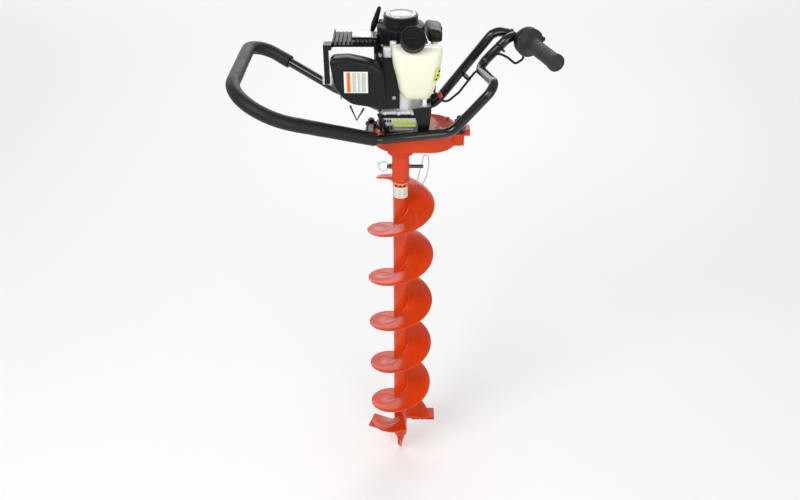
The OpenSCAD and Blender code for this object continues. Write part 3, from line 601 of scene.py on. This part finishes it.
HUB_R = 0.019
hub = bmesh.new()
lathe(hub, [(TUBE_R - 0.001, HUB_LOW.z)] + arc_profile(HUB_LOW.y * -1, HUB_LOW.z, 0.0015, "bottom")
      + [(HUB_HIGH.y, HUB_LOW.z + 0.0045), (HUB_R + 0.0003, HUB_LOW.z + 0.0062), (HUB_R, HUB_LOW.z + 0.009)]
      + arc_profile(HUB_R, HUB_HIGH.z, 0.0015, "top")
      + [(0.0126, HUB_HIGH.z), (0.0126, HUB_HIGH.z - 0.004)])
for k in range(2):
    boss = along((0.0178 * (1 - 2 * k), 0, middle("hitch_pin").z), (1 - 2 * k, 0, 0))
    lathe(hub, [(0.0042, 0), (0.0068, 0.0), (0.0062, 0.0022), (0.0045, 0.0024)], boss, 28)
lathe(hub, [(0.0168, HUB_LOW.z - 0.004), (0.0196, HUB_LOW.z - 0.0015), (0.0206, HUB_LOW.z + 0.001),
            (0.0150, HUB_LOW.z + 0.002)],
      wave=lambda a, r, z: 1 + 0.015 * sin(a * 34))
finish_piece("bit_hub", hub, "orange", "auger", ["auger_hub"])


def hub_label(u, v, lift):
    """u is the angle round the tube in degrees from the front, v the height in metres."""
    a = radians(u - 90)
    r = TUBE_R + lift
    return Vector((r * cos(a), r * sin(a), v))


LABEL_TOP = HUB_LOW.z - 0.004
label = bmesh.new()
patch(label, hub_label, -62, LABEL_TOP - 0.036, 62, LABEL_TOP, 0.0004, 0, (20, 4))
patch(label, hub_label, -62, LABEL_TOP - 0.010, 62, LABEL_TOP - 0.001, 0.0006, 1, (20, 3))
for row in range(4):
    for column, (start, end) in enumerate(((-54, -30), (-22, 8), (16, 52))):
        top = LABEL_TOP - 0.0145 - 0.0052 * row
        patch(label, hub_label, start + 3 * (row % 2), top - 0.0022, end - 5 * ((row + column) % 2), top,
              0.0006, 2, (8, 1))
for k in range(3):
    patch(label, hub_label, -40 + 30 * k, LABEL_TOP - 0.0075, -24 + 30 * k, LABEL_TOP - 0.0035,
          0.0008, 3, (4, 1))
finish_piece("bit_label", label, ["label_white", "label_orange", "label_grey", "label_black"], "auger")


# ---------------------------------------------------------------- hitch pin, ring and clip

PIN_Z = middle("hitch_pin").z
ring_lo, ring_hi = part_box("pull_ring")
RING_WIRE = (ring_hi.y - ring_lo.y) / 2
RING_R = (ring_hi.z - ring_lo.z) / 2 - RING_WIRE
ring = bmesh.new()
ring_mid = (ring_lo + ring_hi) / 2
turns = [ring_mid + Vector((RING_R * cos(tau * k / 90), RING_WIRE * 1.05 * (k / 90 - 0.75),
                            RING_R * sin(tau * k / 90))) for k in range(136)]
sweep(ring, turns, RING_WIRE * 0.8, 12, rim=RING_WIRE * 0.5)
finish_piece("split_ring", ring, "zinc", "hitch_pin", ["pull_ring"], 60)

CLIP_X = 0.0445
CLIP_DIR = Vector((12, 0, 56)).normalized()
clip_pin = Vector((CLIP_X, 0, PIN_Z))
clip_route = [(clip_pin - CLIP_DIR * 0.041, 0), (clip_pin + CLIP_DIR * 0.017, 0.004)]
clip_route += [((0.0546 + 0.0063 * cos(radians(a)), 0, PIN_Z + 0.021 + 0.0063 * sin(radians(a))), 0.004)
               for a in range(150, -31, -30)]
clip_route += [((x, 0, PIN_Z + z), radius) for x, z, radius in (
    (0.0615, 0.009, 0.02), (0.060, -0.005, 0.04), (0.057, -0.025, 0.03), (0.052, -0.037, 0.02),
    (0.049, -0.043, 0))]
clip = bmesh.new()
sweep(clip, even(bend(clip_route, 8), 0.002), 0.0013, 12, rim=0.0008)
finish_piece("hairpin", clip, "zinc", "hairpin_clip", ["hairpin_clip"], 60)


# ---------------------------------------------------------------- handle tubes, foam and grip

RAIL_R = 0.010
FOAM_R = 0.0145
WELD_FRONT = Vector((-0.050, -0.075, 0.970))
WELD_REAR = Vector((-0.050, 0.090, 0.971))
LOOP_FRONT = (Vector((-0.333, -0.188, 1.083)), 0.100)
LOOP_REAR = (Vector((-0.331, 0.198, 1.082)), 0.042)
LOOP_IN = Vector((-0.142, 0.101, 1.007))
GRIP_FACE = Vector((0.267, 0.060, 1.124))
GRIP_DIR = Vector((41, -135, 1)).normalized()
GRIP_LENGTH = 0.122
GRIP_R = 0.0155

for name, node, route in (
        ("hip_loop_tube", "loop_tube",
         [(WELD_FRONT, 0), LOOP_FRONT, LOOP_REAR, (LOOP_IN, 0.070), (WELD_REAR, 0)]),
        ("front_rail", "front_rail_tube",
         [(WELD_FRONT, 0), ((-0.038, -0.074, 0.970), 0.030), ((0.104, -0.067, 0.982), 0.042),
          ((0.189, -0.065, 1.082), 0.024), ((0.164, 0.074, 1.065), 0.022), ((0.226, 0.076, 1.133), 0.024),
          (GRIP_FACE - GRIP_DIR * 0.043, 0.019), (GRIP_FACE + GRIP_DIR * 0.112, 0)]),
        ("rear_rail", "rear_rail_tube",
         [(WELD_REAR, 0), ((-0.036, 0.090, 0.971), 0.030), ((0.072, 0.093, 0.972), 0.042),
          ((0.197, 0.100, 1.137), 0.026), ((0.234, 0.104, 1.128), 0)])):
    rail = bmesh.new()
    sweep(rail, even(bend(route), 0.02), RAIL_R)
    finish_piece(name, rail, "gloss_black", "machine", [node], 60)

rail_welds = bmesh.new()
for spot, direction in ((WELD_FRONT, (1, 0, 0)), (WELD_REAR, (1, 0, 0)),
                        (Vector((0.232, 0.1035, 1.1285)), (1, 0.1, -0.25))):
    lathe(rail_welds, [(0.0085, -0.0030), (0.0104, -0.0022), (0.0113, -0.0008), (0.0113, 0.0008),
                       (0.0104, 0.0022), (0.0085, 0.0030)], along(spot, direction), 64,
          wave=lambda a, r, z: 1 + 0.03 * sin(a * 21) * (r > 0.010))
finish_piece("rail_welds", rail_welds, "gloss_black", "machine", sharp=70)

foam_start = WELD_FRONT + (LOOP_FRONT[0] - WELD_FRONT).normalized() * 0.004
foam_end = LOOP_REAR[0].lerp(LOOP_IN, 0.45)
foam_line = even(bend([(foam_start, 0), LOOP_FRONT, LOOP_REAR, (foam_end, 0)], 3), 0.006)


def foam_radius(i, a):
    """The sleeve swells and pinches a little along its length."""
    spot = foam_line[i]
    pinch = 0.0002 * noise.noise(spot * 130 + Vector((a, 0, 0)))
    return FOAM_R - 0.0003 + 0.0004 * noise.noise(spot * 34) + pinch


foam = bmesh.new()
sweep(foam, foam_line, foam_radius, 36, bore=RAIL_R + 0.0002, rim=0.0025)
foam_piece = finish_piece("foam_grip_sleeve", foam, "foam", "machine", ["foam_sleeve"], 60)

on_grip = along(GRIP_FACE, GRIP_DIR)


def knurl(a, r, z):
    """Shallow ribs along the grip between its flange and its end."""
    return 1 - 0.035 * max(0, sin(a * 18)) ** 2 if 0.016 < z < GRIP_LENGTH - 0.012 else 1


grip_profile = ([(RAIL_R + 0.0003, -0.0036), (0.0270, -0.0036)]
                + arc_profile(0.0300, -0.0036, 0.0016, "bottom") + arc_profile(0.0300, 0.0012, 0.0016, "top")
                + [(0.0262, 0.0016), (0.0235, 0.0035), (0.0195, 0.0062), (0.0170, 0.0100),
                   (GRIP_R + 0.0003, 0.0140)]
                + [(GRIP_R, 0.0155 + 0.0033 * k) for k in range(30)]
                + [(GRIP_R + 0.0006, GRIP_LENGTH - 0.0085), (GRIP_R + 0.0020, GRIP_LENGTH - 0.0070)]
                + arc_profile(GRIP_R + 0.0020, GRIP_LENGTH + 0.0025, 0.0030, "top")
                + [(0.0120, GRIP_LENGTH + 0.0029), (0.0115, GRIP_LENGTH + 0.0021),
                   (0.0040, GRIP_LENGTH + 0.0018)])
grip = bmesh.new()
lathe(grip, grip_profile, on_grip, 144, knurl)
for k in range(7):
    z = 0.024 + 0.0135 * k
    lathe(grip, [(GRIP_R - 0.0006, z - 0.0011), (GRIP_R + 0.0003, z - 0.0006),
                 (GRIP_R + 0.0003, z + 0.0006), (GRIP_R - 0.0006, z + 0.0011)], on_grip, 96)
finish_piece("grip_sleeve", grip, "grip", "twist_grip", ["twist_grip"])

housing = bmesh.new()
lathe(housing, [(RAIL_R + 0.0003, -0.0258)] + arc_profile(0.0250, -0.0258, 0.0030, "bottom")
      + [(0.0250, -0.0205)] + arc_profile(0.0290, -0.0198, 0.0020, "bottom")
      + arc_profile(0.0290, -0.0082, 0.0020, "top") + [(0.0250, -0.0080), (0.0250, -0.0060)]
      + arc_profile(0.0245, -0.0044, 0.0012, "top") + [(RAIL_R + 0.0003, -0.0044)], on_grip, 96,
      wave=lambda a, r, z: 1 + 0.004 * (r > 0.0288) * sin(a * 40))
for k in range(3):
    turn = on_grip @ Matrix.Rotation(tau * k / 3 + 0.5, 4, "Z") @ Matrix.Translation((0.0205, 0, -0.0266))
    lathe(housing, [(0.0010, 0.0002), (0.0030, 0.0002), (0.0034, 0.0010), (0.0034, 0.0030)], turn, 20)
finish_piece("throttle_case", housing, "plastic", "machine", ["throttle_housing"])

cable_boss = bmesh.new()
boss_axis = (on_grip.to_3x3() @ Vector((1, 0, 0))).normalized()
boss_spot = GRIP_FACE + on_grip.to_3x3() @ Vector((0.026, 0, -0.014))
lathe(cable_boss, [(0.0060, -0.004), (0.0072, 0.0), (0.0072, 0.006), (0.0055, 0.010), (0.0036, 0.0135),
                   (0.0015, 0.0138)], along(boss_spot, boss_axis), 28)
finish_piece("cable_boss", cable_boss, "plastic", "machine")

cable_route = [
    ((0.258, 0.070, 1.101), 0), ((0.256, 0.068, 1.086), 0.008), ((0.240, 0.060, 1.079), 0.009),
    ((0.222, 0.055, 1.095), 0.014), ((0.200, 0.054, 1.106), 0.014), ((0.156, 0.082, 1.049), 0.018),
    ((0.126, 0.078, 1.008), 0.018), ((0.098, 0.076, 0.984), 0.014), ((0.072, 0.062, 1.010), 0.012),
    ((0.072, 0.042, 1.056), 0.008), ((0.072, 0.033, 1.062), 0)]
cable = bmesh.new()
sweep(cable, even(bend(cable_route, 6), 0.006), 0.0025, 14)
finish_piece("throttle_cable_jacket", cable, "jacket", "machine", ["throttle_cable"], 60)

ties = bmesh.new()
for spot, across in (((0.2075, 0.0665, 1.1125), (1, 0.1, 1)), ((0.1400, 0.0890, 1.0405), (1, 0, 1.2))):
    lathe(ties, [(0.0150, -0.0018), (0.0160, -0.0012), (0.0160, 0.0012), (0.0150, 0.0018)],
          along(spot, across), 40, wave=lambda a, r, z: 1 - 0.18 * abs(sin(a)))
finish_piece("cable_ties", ties, "jacket", "machine")


# ---------------------------------------------------------------- gearbox trim

washers = bmesh.new()
WASHER_R = 0.0118
for spot, height in (((-0.062, 0), 0.9575), ((0, 0.066), 0.9575), ((0.125, 0), 0.9625)):
    for lift in (0.0034, 0.0118):
        lathe(washers, [(WASHER_R - 0.003, height + lift - 0.0012), (WASHER_R, height + lift - 0.0008),
                        (WASHER_R, height + lift + 0.0008), (WASHER_R - 0.003, height + lift + 0.0012)],
              Matrix.Translation((*spot, 0)), 40)
finish_piece("mount_washers", washers, "red_washer", "machine")

bolts = bmesh.new()
for spot in ((0.118, -0.0600, 0.9905), (0.130, -0.004, 0.9860)):
    lathe(bolts, [(0.0030, -0.0040), (0.0052, -0.0030), (0.0056, -0.0010), (0.0056, 0.0020),
                  (0.0040, 0.0030), (0.0028, 0.0032), (0.0026, 0.0080), (0.0012, 0.0086)],
          Matrix.Translation(spot), 24)
finish_piece("bracket_bolts", bolts, "brass_bolt", "machine")


# ---------------------------------------------------------------- fuel tank and cap

ENGINE_Z = low("crankcase").z
TANK_BACK, TANK_FRONT = -0.056, -0.098
tank_corners = [(10, 47), (54, 47), (66, 68), (73, 96), (79, 130), (79, 147), (73, 152), (-14, 152),
                (-17, 140), (-15, 118), (-9, 95), (-3, 66)]
tank_radii = [12, 12, 30, 60, 40, 7, 9, 8, 20, 60, 60, 30]
tank_outline = rounded([(x * MM, ENGINE_Z + z * MM) for x, z in tank_corners],
                       [r * MM for r in tank_radii], 6)


def on_side(x, z, depth):
    """A point of an outline drawn in the X-Z plane, `depth` in front of the tank's back."""
    return Vector((x, TANK_BACK - depth, z))


TANK_DEPTH = TANK_BACK - TANK_FRONT
CROWN = 0.020


def slab(bm, outline, levels, place):
    """Stacks an outline, shrunk about its middle, at levels of (shrink, depth)."""
    centre = sum(outline, Vector((0, 0))) / len(outline)
    loops = []
    for shrink, depth in levels:
        spots = [p.lerp(centre, shrink) for p in outline]
        loops.append([bm.verts.new(place(p.x, p.y, depth)) for p in spots])
    skin(bm, loops)


tank_levels = [(0.10 * (1 - sin(radians(a))), 0.0045 * (1 - cos(radians(a))))
               for a in range(0, 91, 18)]
tank_levels += [(0, 0.0108), (-0.018, 0.0114), (-0.018, 0.0126), (0, 0.0132)]
tank_levels += [(0.42 * (1 - cos(radians(a))), TANK_DEPTH - CROWN + CROWN * sin(radians(a)))
                for a in range(0, 82, 6)]
tank_levels += [(0.70, TANK_DEPTH - 0.0001), (0.97, TANK_DEPTH)]
tank = bmesh.new()
slab(tank, tank_outline, tank_levels, on_side)
on_cap = along((0.023, -0.080, ENGINE_Z + 0.163), (0, -1, 1))
lathe(tank, [(0.0125, -0.024), (0.0170, -0.022), (0.0170, 0.003), (0.0178, 0.004), (0.0178, 0.0055),
             (0.0150, 0.006), (0.0138, 0.004)], on_cap, 64)
for x, z in ((0.050, 0.056), (0.014, 0.056)):
    lathe(tank, [(0.0050, 0.0), (0.0062, 0.001), (0.0062, 0.005), (0.0050, 0.006)],
          along((x, TANK_BACK + 0.006, ENGINE_Z + z), (0, -1, 0)), 24)
finish_piece("tank_shell", tank, "tank", "machine", ["fuel_tank"], 40)

CAP_R = 0.0245
cap = bmesh.new()
lathe(cap, [(0.0180, 0.0012)] + arc_profile(CAP_R, 0.0005, 0.0014, "bottom")
      + [(CAP_R, 0.004 + 0.0022 * k) for k in range(5)] + arc_profile(CAP_R, 0.0172, 0.0022, "top")
      + [(0.0200, 0.0178), (0.0190, 0.0166), (0.0120, 0.0164), (0.0060, 0.0160)], on_cap, 192,
      wave=lambda a, r, z: 1 - 0.030 * (abs(sin(a * 16)) ** 0.6) * (r > 0.0235) * (0.0015 < z < 0.0155))
grip_bar = rounded([(-0.0185, -0.0034), (0.0185, -0.0034), (0.0185, 0.0034), (-0.0185, 0.0034)], 0.0030)
loft(cap, grip_bar, [(0, 0.0150), (0, 0.0172), (0.0006, 0.0181), (0.0014, 0.0184)],
     lambda x, y, h: on_cap @ Vector((x, y, h)))
finish_piece("tank_cap", cap, "plastic", "fuel_cap", ["fuel_cap"])

sticker = bmesh.new()


def tank_side(u, v, lift):
    """The tank's right front edge: u goes round it from the front to the side, v is the height."""
    size = 0.0100
    across = size * sin(radians(u))
    back = size * (1 - cos(radians(u)))
    run = (v - ENGINE_Z - 0.068) / 0.028
    edge_x = 0.0660 + 0.0070 * min(1, max(0, run)) + 0.0060 * max(0, (v - ENGINE_Z - 0.096) / 0.034)
    outward = Vector((sin(radians(u)), -cos(radians(u)), 0)) * (lift + 0.0004)
    return Vector((edge_x - size + across, TANK_FRONT + back, v)) + outward


patch(sticker, tank_side, 12, ENGINE_Z + 0.090, 74, ENGINE_Z + 0.116, 0.0004, 0, (8, 8))
for k in range(3):
    patch(sticker, tank_side, 18 + 8 * k, ENGINE_Z + 0.093 + 0.008 * k, 40 + 10 * k,
          ENGINE_Z + 0.0975 + 0.008 * k, 0.0006, 1, (5, 2))
finish_piece("tank_sticker", sticker, ["label_yellow", "label_black"], "machine")

standoff = bmesh.new()
box(standoff, (-0.0340, -0.0660, ENGINE_Z + 0.126), (-0.0170, -0.0560, ENGINE_Z + 0.147), 0.0030)
box(standoff, (-0.0210, -0.0640, ENGINE_Z + 0.145), (-0.0080, -0.0560, ENGINE_Z + 0.158), 0.0025)
finish_piece("tank_standoff", standoff, "alu", "machine")

COWL_TOP = high("cylinder_cowl").z
cowl_plate = bmesh.new()
box(cowl_plate, (-0.0955, -0.0235, COWL_TOP - 0.0004), (-0.0465, 0.0095, COWL_TOP + 0.0010), 0.0012)
finish_piece("cowl_plate", cowl_plate, "label_silver", "machine")

hose_route = [((-0.012, -0.060, ENGINE_Z + 0.148), 0), ((-0.030, -0.052, ENGINE_Z + 0.146), 0.008),
              ((-0.044, -0.050, ENGINE_Z + 0.110), 0.02), ((-0.050, -0.048, ENGINE_Z + 0.080), 0)]
fuel_line = bmesh.new()
sweep(fuel_line, even(bend(hose_route, 8), 0.004), 0.0024, 12)
finish_piece("fuel_line", fuel_line, "jacket", "machine", sharp=60)


# ---------------------------------------------------------------- muffler cover, panel and their trim

CRANK_Z = middle("finned_cylinder").z
COVER_FRONT = low("muffler_cover").y
cover_corners = [(-136, 72), (-130, 80), (-100, 82), (-80, 78), (-60, 73.5), (-42, 65), (-34, 54), (-31, 40),
                 (-31, -16), (-40, -21), (-57, -20), (-89, -15), (-98, -12), (-115, 1), (-130, 23)]
cover_radii = [8, 10, 40, 60, 60, 25, 18, 20, 9, 10, 40, 30, 20, 30, 60]
cover_outline = rounded([(x * MM, CRANK_Z + z * MM) for x, z in cover_corners],
                        [r * MM for r in cover_radii], 6)


def on_cover(x, z, depth):
    """A point of the cover's outline, `depth` back from its front face."""
    return Vector((x, COVER_FRONT + depth, z))


cover = bmesh.new()
loft(cover, cover_outline,
     [(0.0330, 0.0022), (0.0180, 0.0012), (0.0120, 0.0004), (0.0085, 0.0000), (0.0066, 0.0002),
      (0.0042, 0.0010), (0.0022, 0.0028), (0.0009, 0.0055), (0.0002, 0.0085), (0, 0.0120), (0, 0.0286),
      (0.0004, 0.0298), (0.0014, 0.0300), (0.0022, 0.0290), (0.0024, 0.0120), (0.0060, 0.0040),
      (0.0180, 0.0036), (0.0330, 0.0046)],
     on_cover)
finish_piece("muffler_shroud", cover, "cover", "machine", ["muffler_cover"], 42)

cover_trim = bmesh.new()
for x, z in ((-0.118, 0.066), (-0.048, 0.052), (-0.044, -0.004), (-0.108, 0.008)):
    lathe(cover_trim, [(0.0009, 0.0006), (0.0026, 0.0006), (0.0040, -0.0002), (0.0046, -0.0016),
                       (0.0046, -0.0030)],
          along((x, COVER_FRONT + 0.0016, CRANK_Z + z), (0, -1, 0)), 24)
finish_piece("cover_screws", cover_trim, "dark_steel", "machine")


def cover_face(u, v, lift):
    """A point on the cover's front face; u and v are metres right of and above its label's corner."""
    return Vector((-0.109 + u + 0.0006 * v, COVER_FRONT - lift + 0.0004, CRANK_Z + 0.0130 + v))


cover_label = bmesh.new()
patch(cover_label, cover_face, 0, 0, 0.046, 0.043, 0.0010, 0, (2, 2))
patch(cover_label, cover_face, 0.0055, 0.0015, 0.0125, 0.0415, 0.0012, 1, (1, 2))
for start, width in ((0.0160, 0.0075), (0.0260, 0.0050), (0.0335, 0.0085)):
    patch(cover_label, cover_face, start, 0.0020, start + width, 0.0410, 0.0012, 2, (1, 2))
finish_piece("cover_label", cover_label, ["label_white", "label_orange", "label_grey"], "machine")

screws = bmesh.new()
for x, y, z in ((-0.0135, -0.0556, ENGINE_Z + 0.040), (-0.040, -0.0556, ENGINE_Z + 0.128)):
    lathe(screws, [(0.0010, 0.0002), (0.0018, 0.0004), (0.0020, 0.0016), (0.0036, 0.0016), (0.0042, 0.0010),
                   (0.0042, -0.0002)], along((x, y, z), (0, -1, 0)), 28)
finish_piece("panel_screws", screws, "steel", "machine")


# ---------------------------------------------------------------- starter and air cleaner

SHROUD_TOP = low("recoil_housing").z
RECOIL_TOP = high("recoil_housing").z
STEP = RECOIL_TOP - 0.019
shroud = bmesh.new()


def vents(a, r, z):
    """Cooling slots round the starter's lower drum."""
    return 1 - 0.055 * (sin(a * 22) > 0.25) * (SHROUD_TOP + 0.012 < z < STEP - 0.008) * (0.045 < r)


lathe(shroud, [(0.040, SHROUD_TOP + 0.0004)] + arc_profile(0.0530, SHROUD_TOP + 0.0002, 0.0010, "bottom")
      + arc_profile(0.0530, SHROUD_TOP + 0.006, 0.0014, "top")
      + [(0.0478, SHROUD_TOP + 0.0066), (0.0470, SHROUD_TOP + 0.0085), (0.0470, SHROUD_TOP + 0.0115)]
      + [(0.0470, SHROUD_TOP + 0.0122 + 0.0030 * k) for k in range(6)]
      + arc_profile(0.0470, STEP, 0.0030, "top") + [(0.0400, STEP + 0.0012), (0.0352, STEP + 0.0030)]
      + [(0.0340, STEP + 0.0060), (0.0340, RECOIL_TOP - 0.0070), (0.0333, RECOIL_TOP - 0.0066),
         (0.0333, RECOIL_TOP - 0.0052), (0.0340, RECOIL_TOP - 0.0048)]
      + arc_profile(0.0340, RECOIL_TOP, 0.0016, "top")
      + [(0.0302, RECOIL_TOP), (0.0300, RECOIL_TOP - 0.0010), (0.0100, RECOIL_TOP - 0.0010)],
      steps=176, wave=vents)
ROPE_Z = high("starter_rope").z - 0.0019
lathe(shroud, [(0.0028, 0.0060), (0.0050, 0.0052), (0.0068, 0.0062), (0.0072, 0.0080), (0.0070, 0.0200),
               (0.0028, 0.0210)], along((-0.0490, 0.030, ROPE_Z), (1, 0, 0)), 40)
finish_piece("starter_shroud", shroud, "plastic", "machine", ["recoil_housing"], 30)

badge = bmesh.new()
lathe(badge, [(r, RECOIL_TOP + z) for r, z in (
    (0.0006, -0.0008), (0.0292, -0.0008), (0.0298, -0.0002), (0.0296, 0.0008), (0.0284, 0.0013),
    (0.0262, 0.0011), (0.0256, 0.0006), (0.0200, 0.0006), (0.0190, 0.0010), (0.0090, 0.0013),
    (0.0006, 0.0014))], steps=96)
finish_piece("starter_badge", badge, "badge", "machine", ["recoil_badge"], 60)

badge_marks = bmesh.new()
for k in range(24):
    a = tau * k / 24
    if k % 6 == 5:
        continue
    across = Vector((-sin(a), cos(a), 0))
    out = Vector((cos(a), sin(a), 0))

    def on_badge(u, v, lift, across=across, out=out):
        return out * (0.0228 + v) + across * u + Vector((0, 0, RECOIL_TOP + 0.0006 + lift))

    patch(badge_marks, on_badge, -0.0014, -0.0018, 0.0014 - 0.0010 * (k % 2), 0.0018, 0.0002, 0, (1, 1))
finish_piece("badge_marks", badge_marks, "label_black", "machine")

shroud_screws = bmesh.new()
for k in range(4):
    a = radians(45 + 90 * k)
    lathe(shroud_screws, [(0.0006, 0.0026), (0.0016, 0.0030), (0.0034, 0.0022), (0.0038, 0.0006),
                          (0.0038, -0.0010)],
          Matrix.Translation((0.0500 * cos(a), 0.0500 * sin(a), SHROUD_TOP + 0.006)), 20)
finish_piece("shroud_screws", shroud_screws, "zinc", "machine")

HANDLE_TILT = radians(18)
handle = bmesh.new()
tilt = Matrix.Translation((-0.052, 0.030, ROPE_Z)) @ Matrix.Rotation(HANDLE_TILT, 4, "Y")
handle_profile = [
    (0.0008, -0.0208), (0.0026, -0.0202), (0.0042, -0.0184), (0.0050, -0.0160), (0.0060, -0.0100),
    (0.0068, -0.0045), (0.0070, 0.000), (0.0067, 0.006), (0.0060, 0.014), (0.0053, 0.022), (0.0046, 0.029),
    (0.0040, 0.0318), (0.0026, 0.0336), (0.0008, 0.0342)]
lathe(handle, handle_profile, tilt, 48,
      wave=lambda a, r, z: (1 - 0.10 * abs(cos(a)) ** 3) * (1 - 0.03 * (sin(z * 1500) > 0)))
lathe(handle, [(0.0066, 0.0), (0.0068, 0.0015), (0.0052, 0.0045), (0.0044, 0.0072), (0.0022, 0.0075)],
      along((-0.052, 0.030, ROPE_Z), (1, 0, 0)), 36)
finish_piece("starter_grip", handle, "plastic", "pull_handle", ["pull_handle"], 45)

cleaner = bmesh.new()
AIR_LOW, AIR_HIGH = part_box("air_cleaner_cover")
plan = rounded([(0.0550, -0.0230), (0.0820, -0.0230), (0.0820, 0.0470), (0.0460, 0.0470)], 0.0100, 10)


def on_cleaner(x, y, h):
    """The air cleaner's top falls away to the right."""
    rise = (h - AIR_LOW.z) / (AIR_HIGH.z - AIR_LOW.z)
    return Vector((x, y, h - 0.0045 * rise * rise * max(0, (x - 0.060) / 0.022)))


AIR_TALL = AIR_HIGH.z - AIR_LOW.z
cleaner_levels = [(0.0020, AIR_LOW.z), (0.0004, AIR_LOW.z + 0.0010)]
cleaner_levels += [(size, AIR_LOW.z + AIR_TALL * share)
                   for size, share in ((0.0004, 0.30), (0.0014, 0.31), (0.0014, 0.35), (0.0004, 0.36))]
cleaner_levels += [(size, AIR_HIGH.z - drop) for size, drop in (
    (0.0004, 0.0090), (0.0010, 0.0058), (0.0028, 0.0028), (0.0056, 0.0008), (0.0090, 0.0001))]
loft(cleaner, plan, cleaner_levels, on_cleaner)
lathe(cleaner, [(0.0066, -0.0030), (0.0070, 0.0008), (0.0062, 0.0024), (0.0020, 0.0028)],
      along((0.0815, 0.012, (AIR_LOW.z + AIR_HIGH.z) / 2), (1, 0, 0)) @ Matrix.Scale(0.35, 4, (0, 0, 1)), 36,
      wave=lambda a, r, z: 1 + 0.06 * sin(a * 8))
finish_piece("air_cleaner_lid", cleaner, "plastic_olive", "machine",
             ["air_cleaner_cover"], 34)


# ---------------------------------------------------------------- clutch housing plate and stop switch

HOUSING_FRONT = low("clutch_housing").y
PLATE_LOW = high("gear_case_cover").z + 0.0015


def on_plate(u, v, lift):
    """The flat front of the clutch housing; u and v are metres from the plate's lower left corner."""
    return Vector((-0.0375 + u, HOUSING_FRONT - 0.0003 - lift, PLATE_LOW + v))


plate = bmesh.new()
patch(plate, on_plate, 0, 0, 0.072, 0.029, 0.0010, 0, (2, 2))
patch(plate, on_plate, 0.022, 0.0205, 0.062, 0.0265, 0.0012, 1, (1, 1))
patch(plate, on_plate, 0.024, 0.0105, 0.068, 0.0165, 0.0012, 1, (1, 1))
for k in range(3):
    patch(plate, on_plate, 0.004 + 0.0052 * k, 0.0195, 0.0078 + 0.0052 * k, 0.0262, 0.0012, 2, (1, 1))
    patch(plate, on_plate, 0.004 + 0.0062 * k, 0.0040, 0.0086 + 0.0062 * k, 0.0125, 0.0012, 2, (1, 1))
for k in range(5):
    patch(plate, on_plate, 0.026 + 0.0080 * k, 0.0035, 0.0318 + 0.0080 * k, 0.0060, 0.0012, 3, (1, 1))
finish_piece("model_plate", plate, ["label_silver", "label_lime", "label_black", "label_grey"], "machine")

base_plate = bmesh.new()
box(base_plate, (-0.0405, -0.0500, ENGINE_Z + 0.0008), (0.0600, -0.0470, ENGINE_Z + 0.0078), 0.0012)
for k in range(4):
    lathe(base_plate, [(0.0016, 0.0022), (0.0038, 0.0020), (0.0044, 0.0006), (0.0044, -0.0010)],
          along((-0.032 + 0.028 * k, -0.0500, ENGINE_Z + 0.0043), (0, -1, 0)), 20)
finish_piece("base_flange", base_plate, "alu", "machine")

button_axis = Vector((0.848048, 0, 0.529919))
seat = Vector((0.066, 0, ENGINE_Z + 0.013))
button = bmesh.new()
lathe(button, [(0.0055, 0.0088), (0.0062, 0.0092)] + [(0.0062, 0.010 + 0.002 * k) for k in range(4)]
      + arc_profile(0.0062, 0.0213, 0.0022, "top") + [(0.0020, 0.0214)], along(seat, button_axis), 48)
finish_piece("stop_push", button, "red", "stop_button", ["stop_button"], 50)


# ---------------------------------------------------------------- floor and light

floor_mesh = bmesh.new()
FLOOR_HALF = 12.0
corners = [floor_mesh.verts.new((x * FLOOR_HALF, y * FLOOR_HALF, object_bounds()[0].z - 0.0005))
           for x, y in ((-1, -1), (1, -1), (1, 1), (-1, 1))]
floor_mesh.faces.new(corners)
floor_data = bpy.data.meshes.new("floor")
floor_mesh.to_mesh(floor_data)
floor_mesh.free()
floor_finish = Nodes("floor")
floor_finish.set(Base_Color=(0.93, 0.93, 0.93, 1), Roughness=0.9, Specular_IOR_Level=0.1)
floor_data.materials.append(floor_finish.material)
floor = bpy.data.objects.new("floor", floor_data)
scene.collection.objects.link(floor)

world = bpy.data.worlds.new("studio")
world.use_nodes = True
world.node_tree.nodes["Background"].inputs["Color"].default_value = (1, 1, 1, 1)
world.node_tree.nodes["Background"].inputs["Strength"].default_value = 0.55
scene.world = world


def soft_light(name, place, size, watts):
    data = bpy.data.lights.new(name, "AREA")
    data.shape = "RECTANGLE"
    data.size, data.size_y = size
    data.energy = watts
    light = bpy.data.objects.new(name, data)
    light.location = place
    light.rotation_euler = (Vector((0, 0, 0.7)) - Vector(place)).to_track_quat("-Z", "Y").to_euler()
    light.visible_camera = False
    scene.collection.objects.link(light)


soft_light("key_light", (-1.6, -1.8, 2.9), (1.6, 1.2), 42)
soft_light("fill_light", (0.9, -2.6, 1.5), (1.6, 1.6), 24)
soft_light("back_light", (0.3, 2.6, 2.6), (2.4, 1.2), 20)
soft_light("horizon_light", (0.0, 5.5, 2.4), (9.0, 2.6), 110)
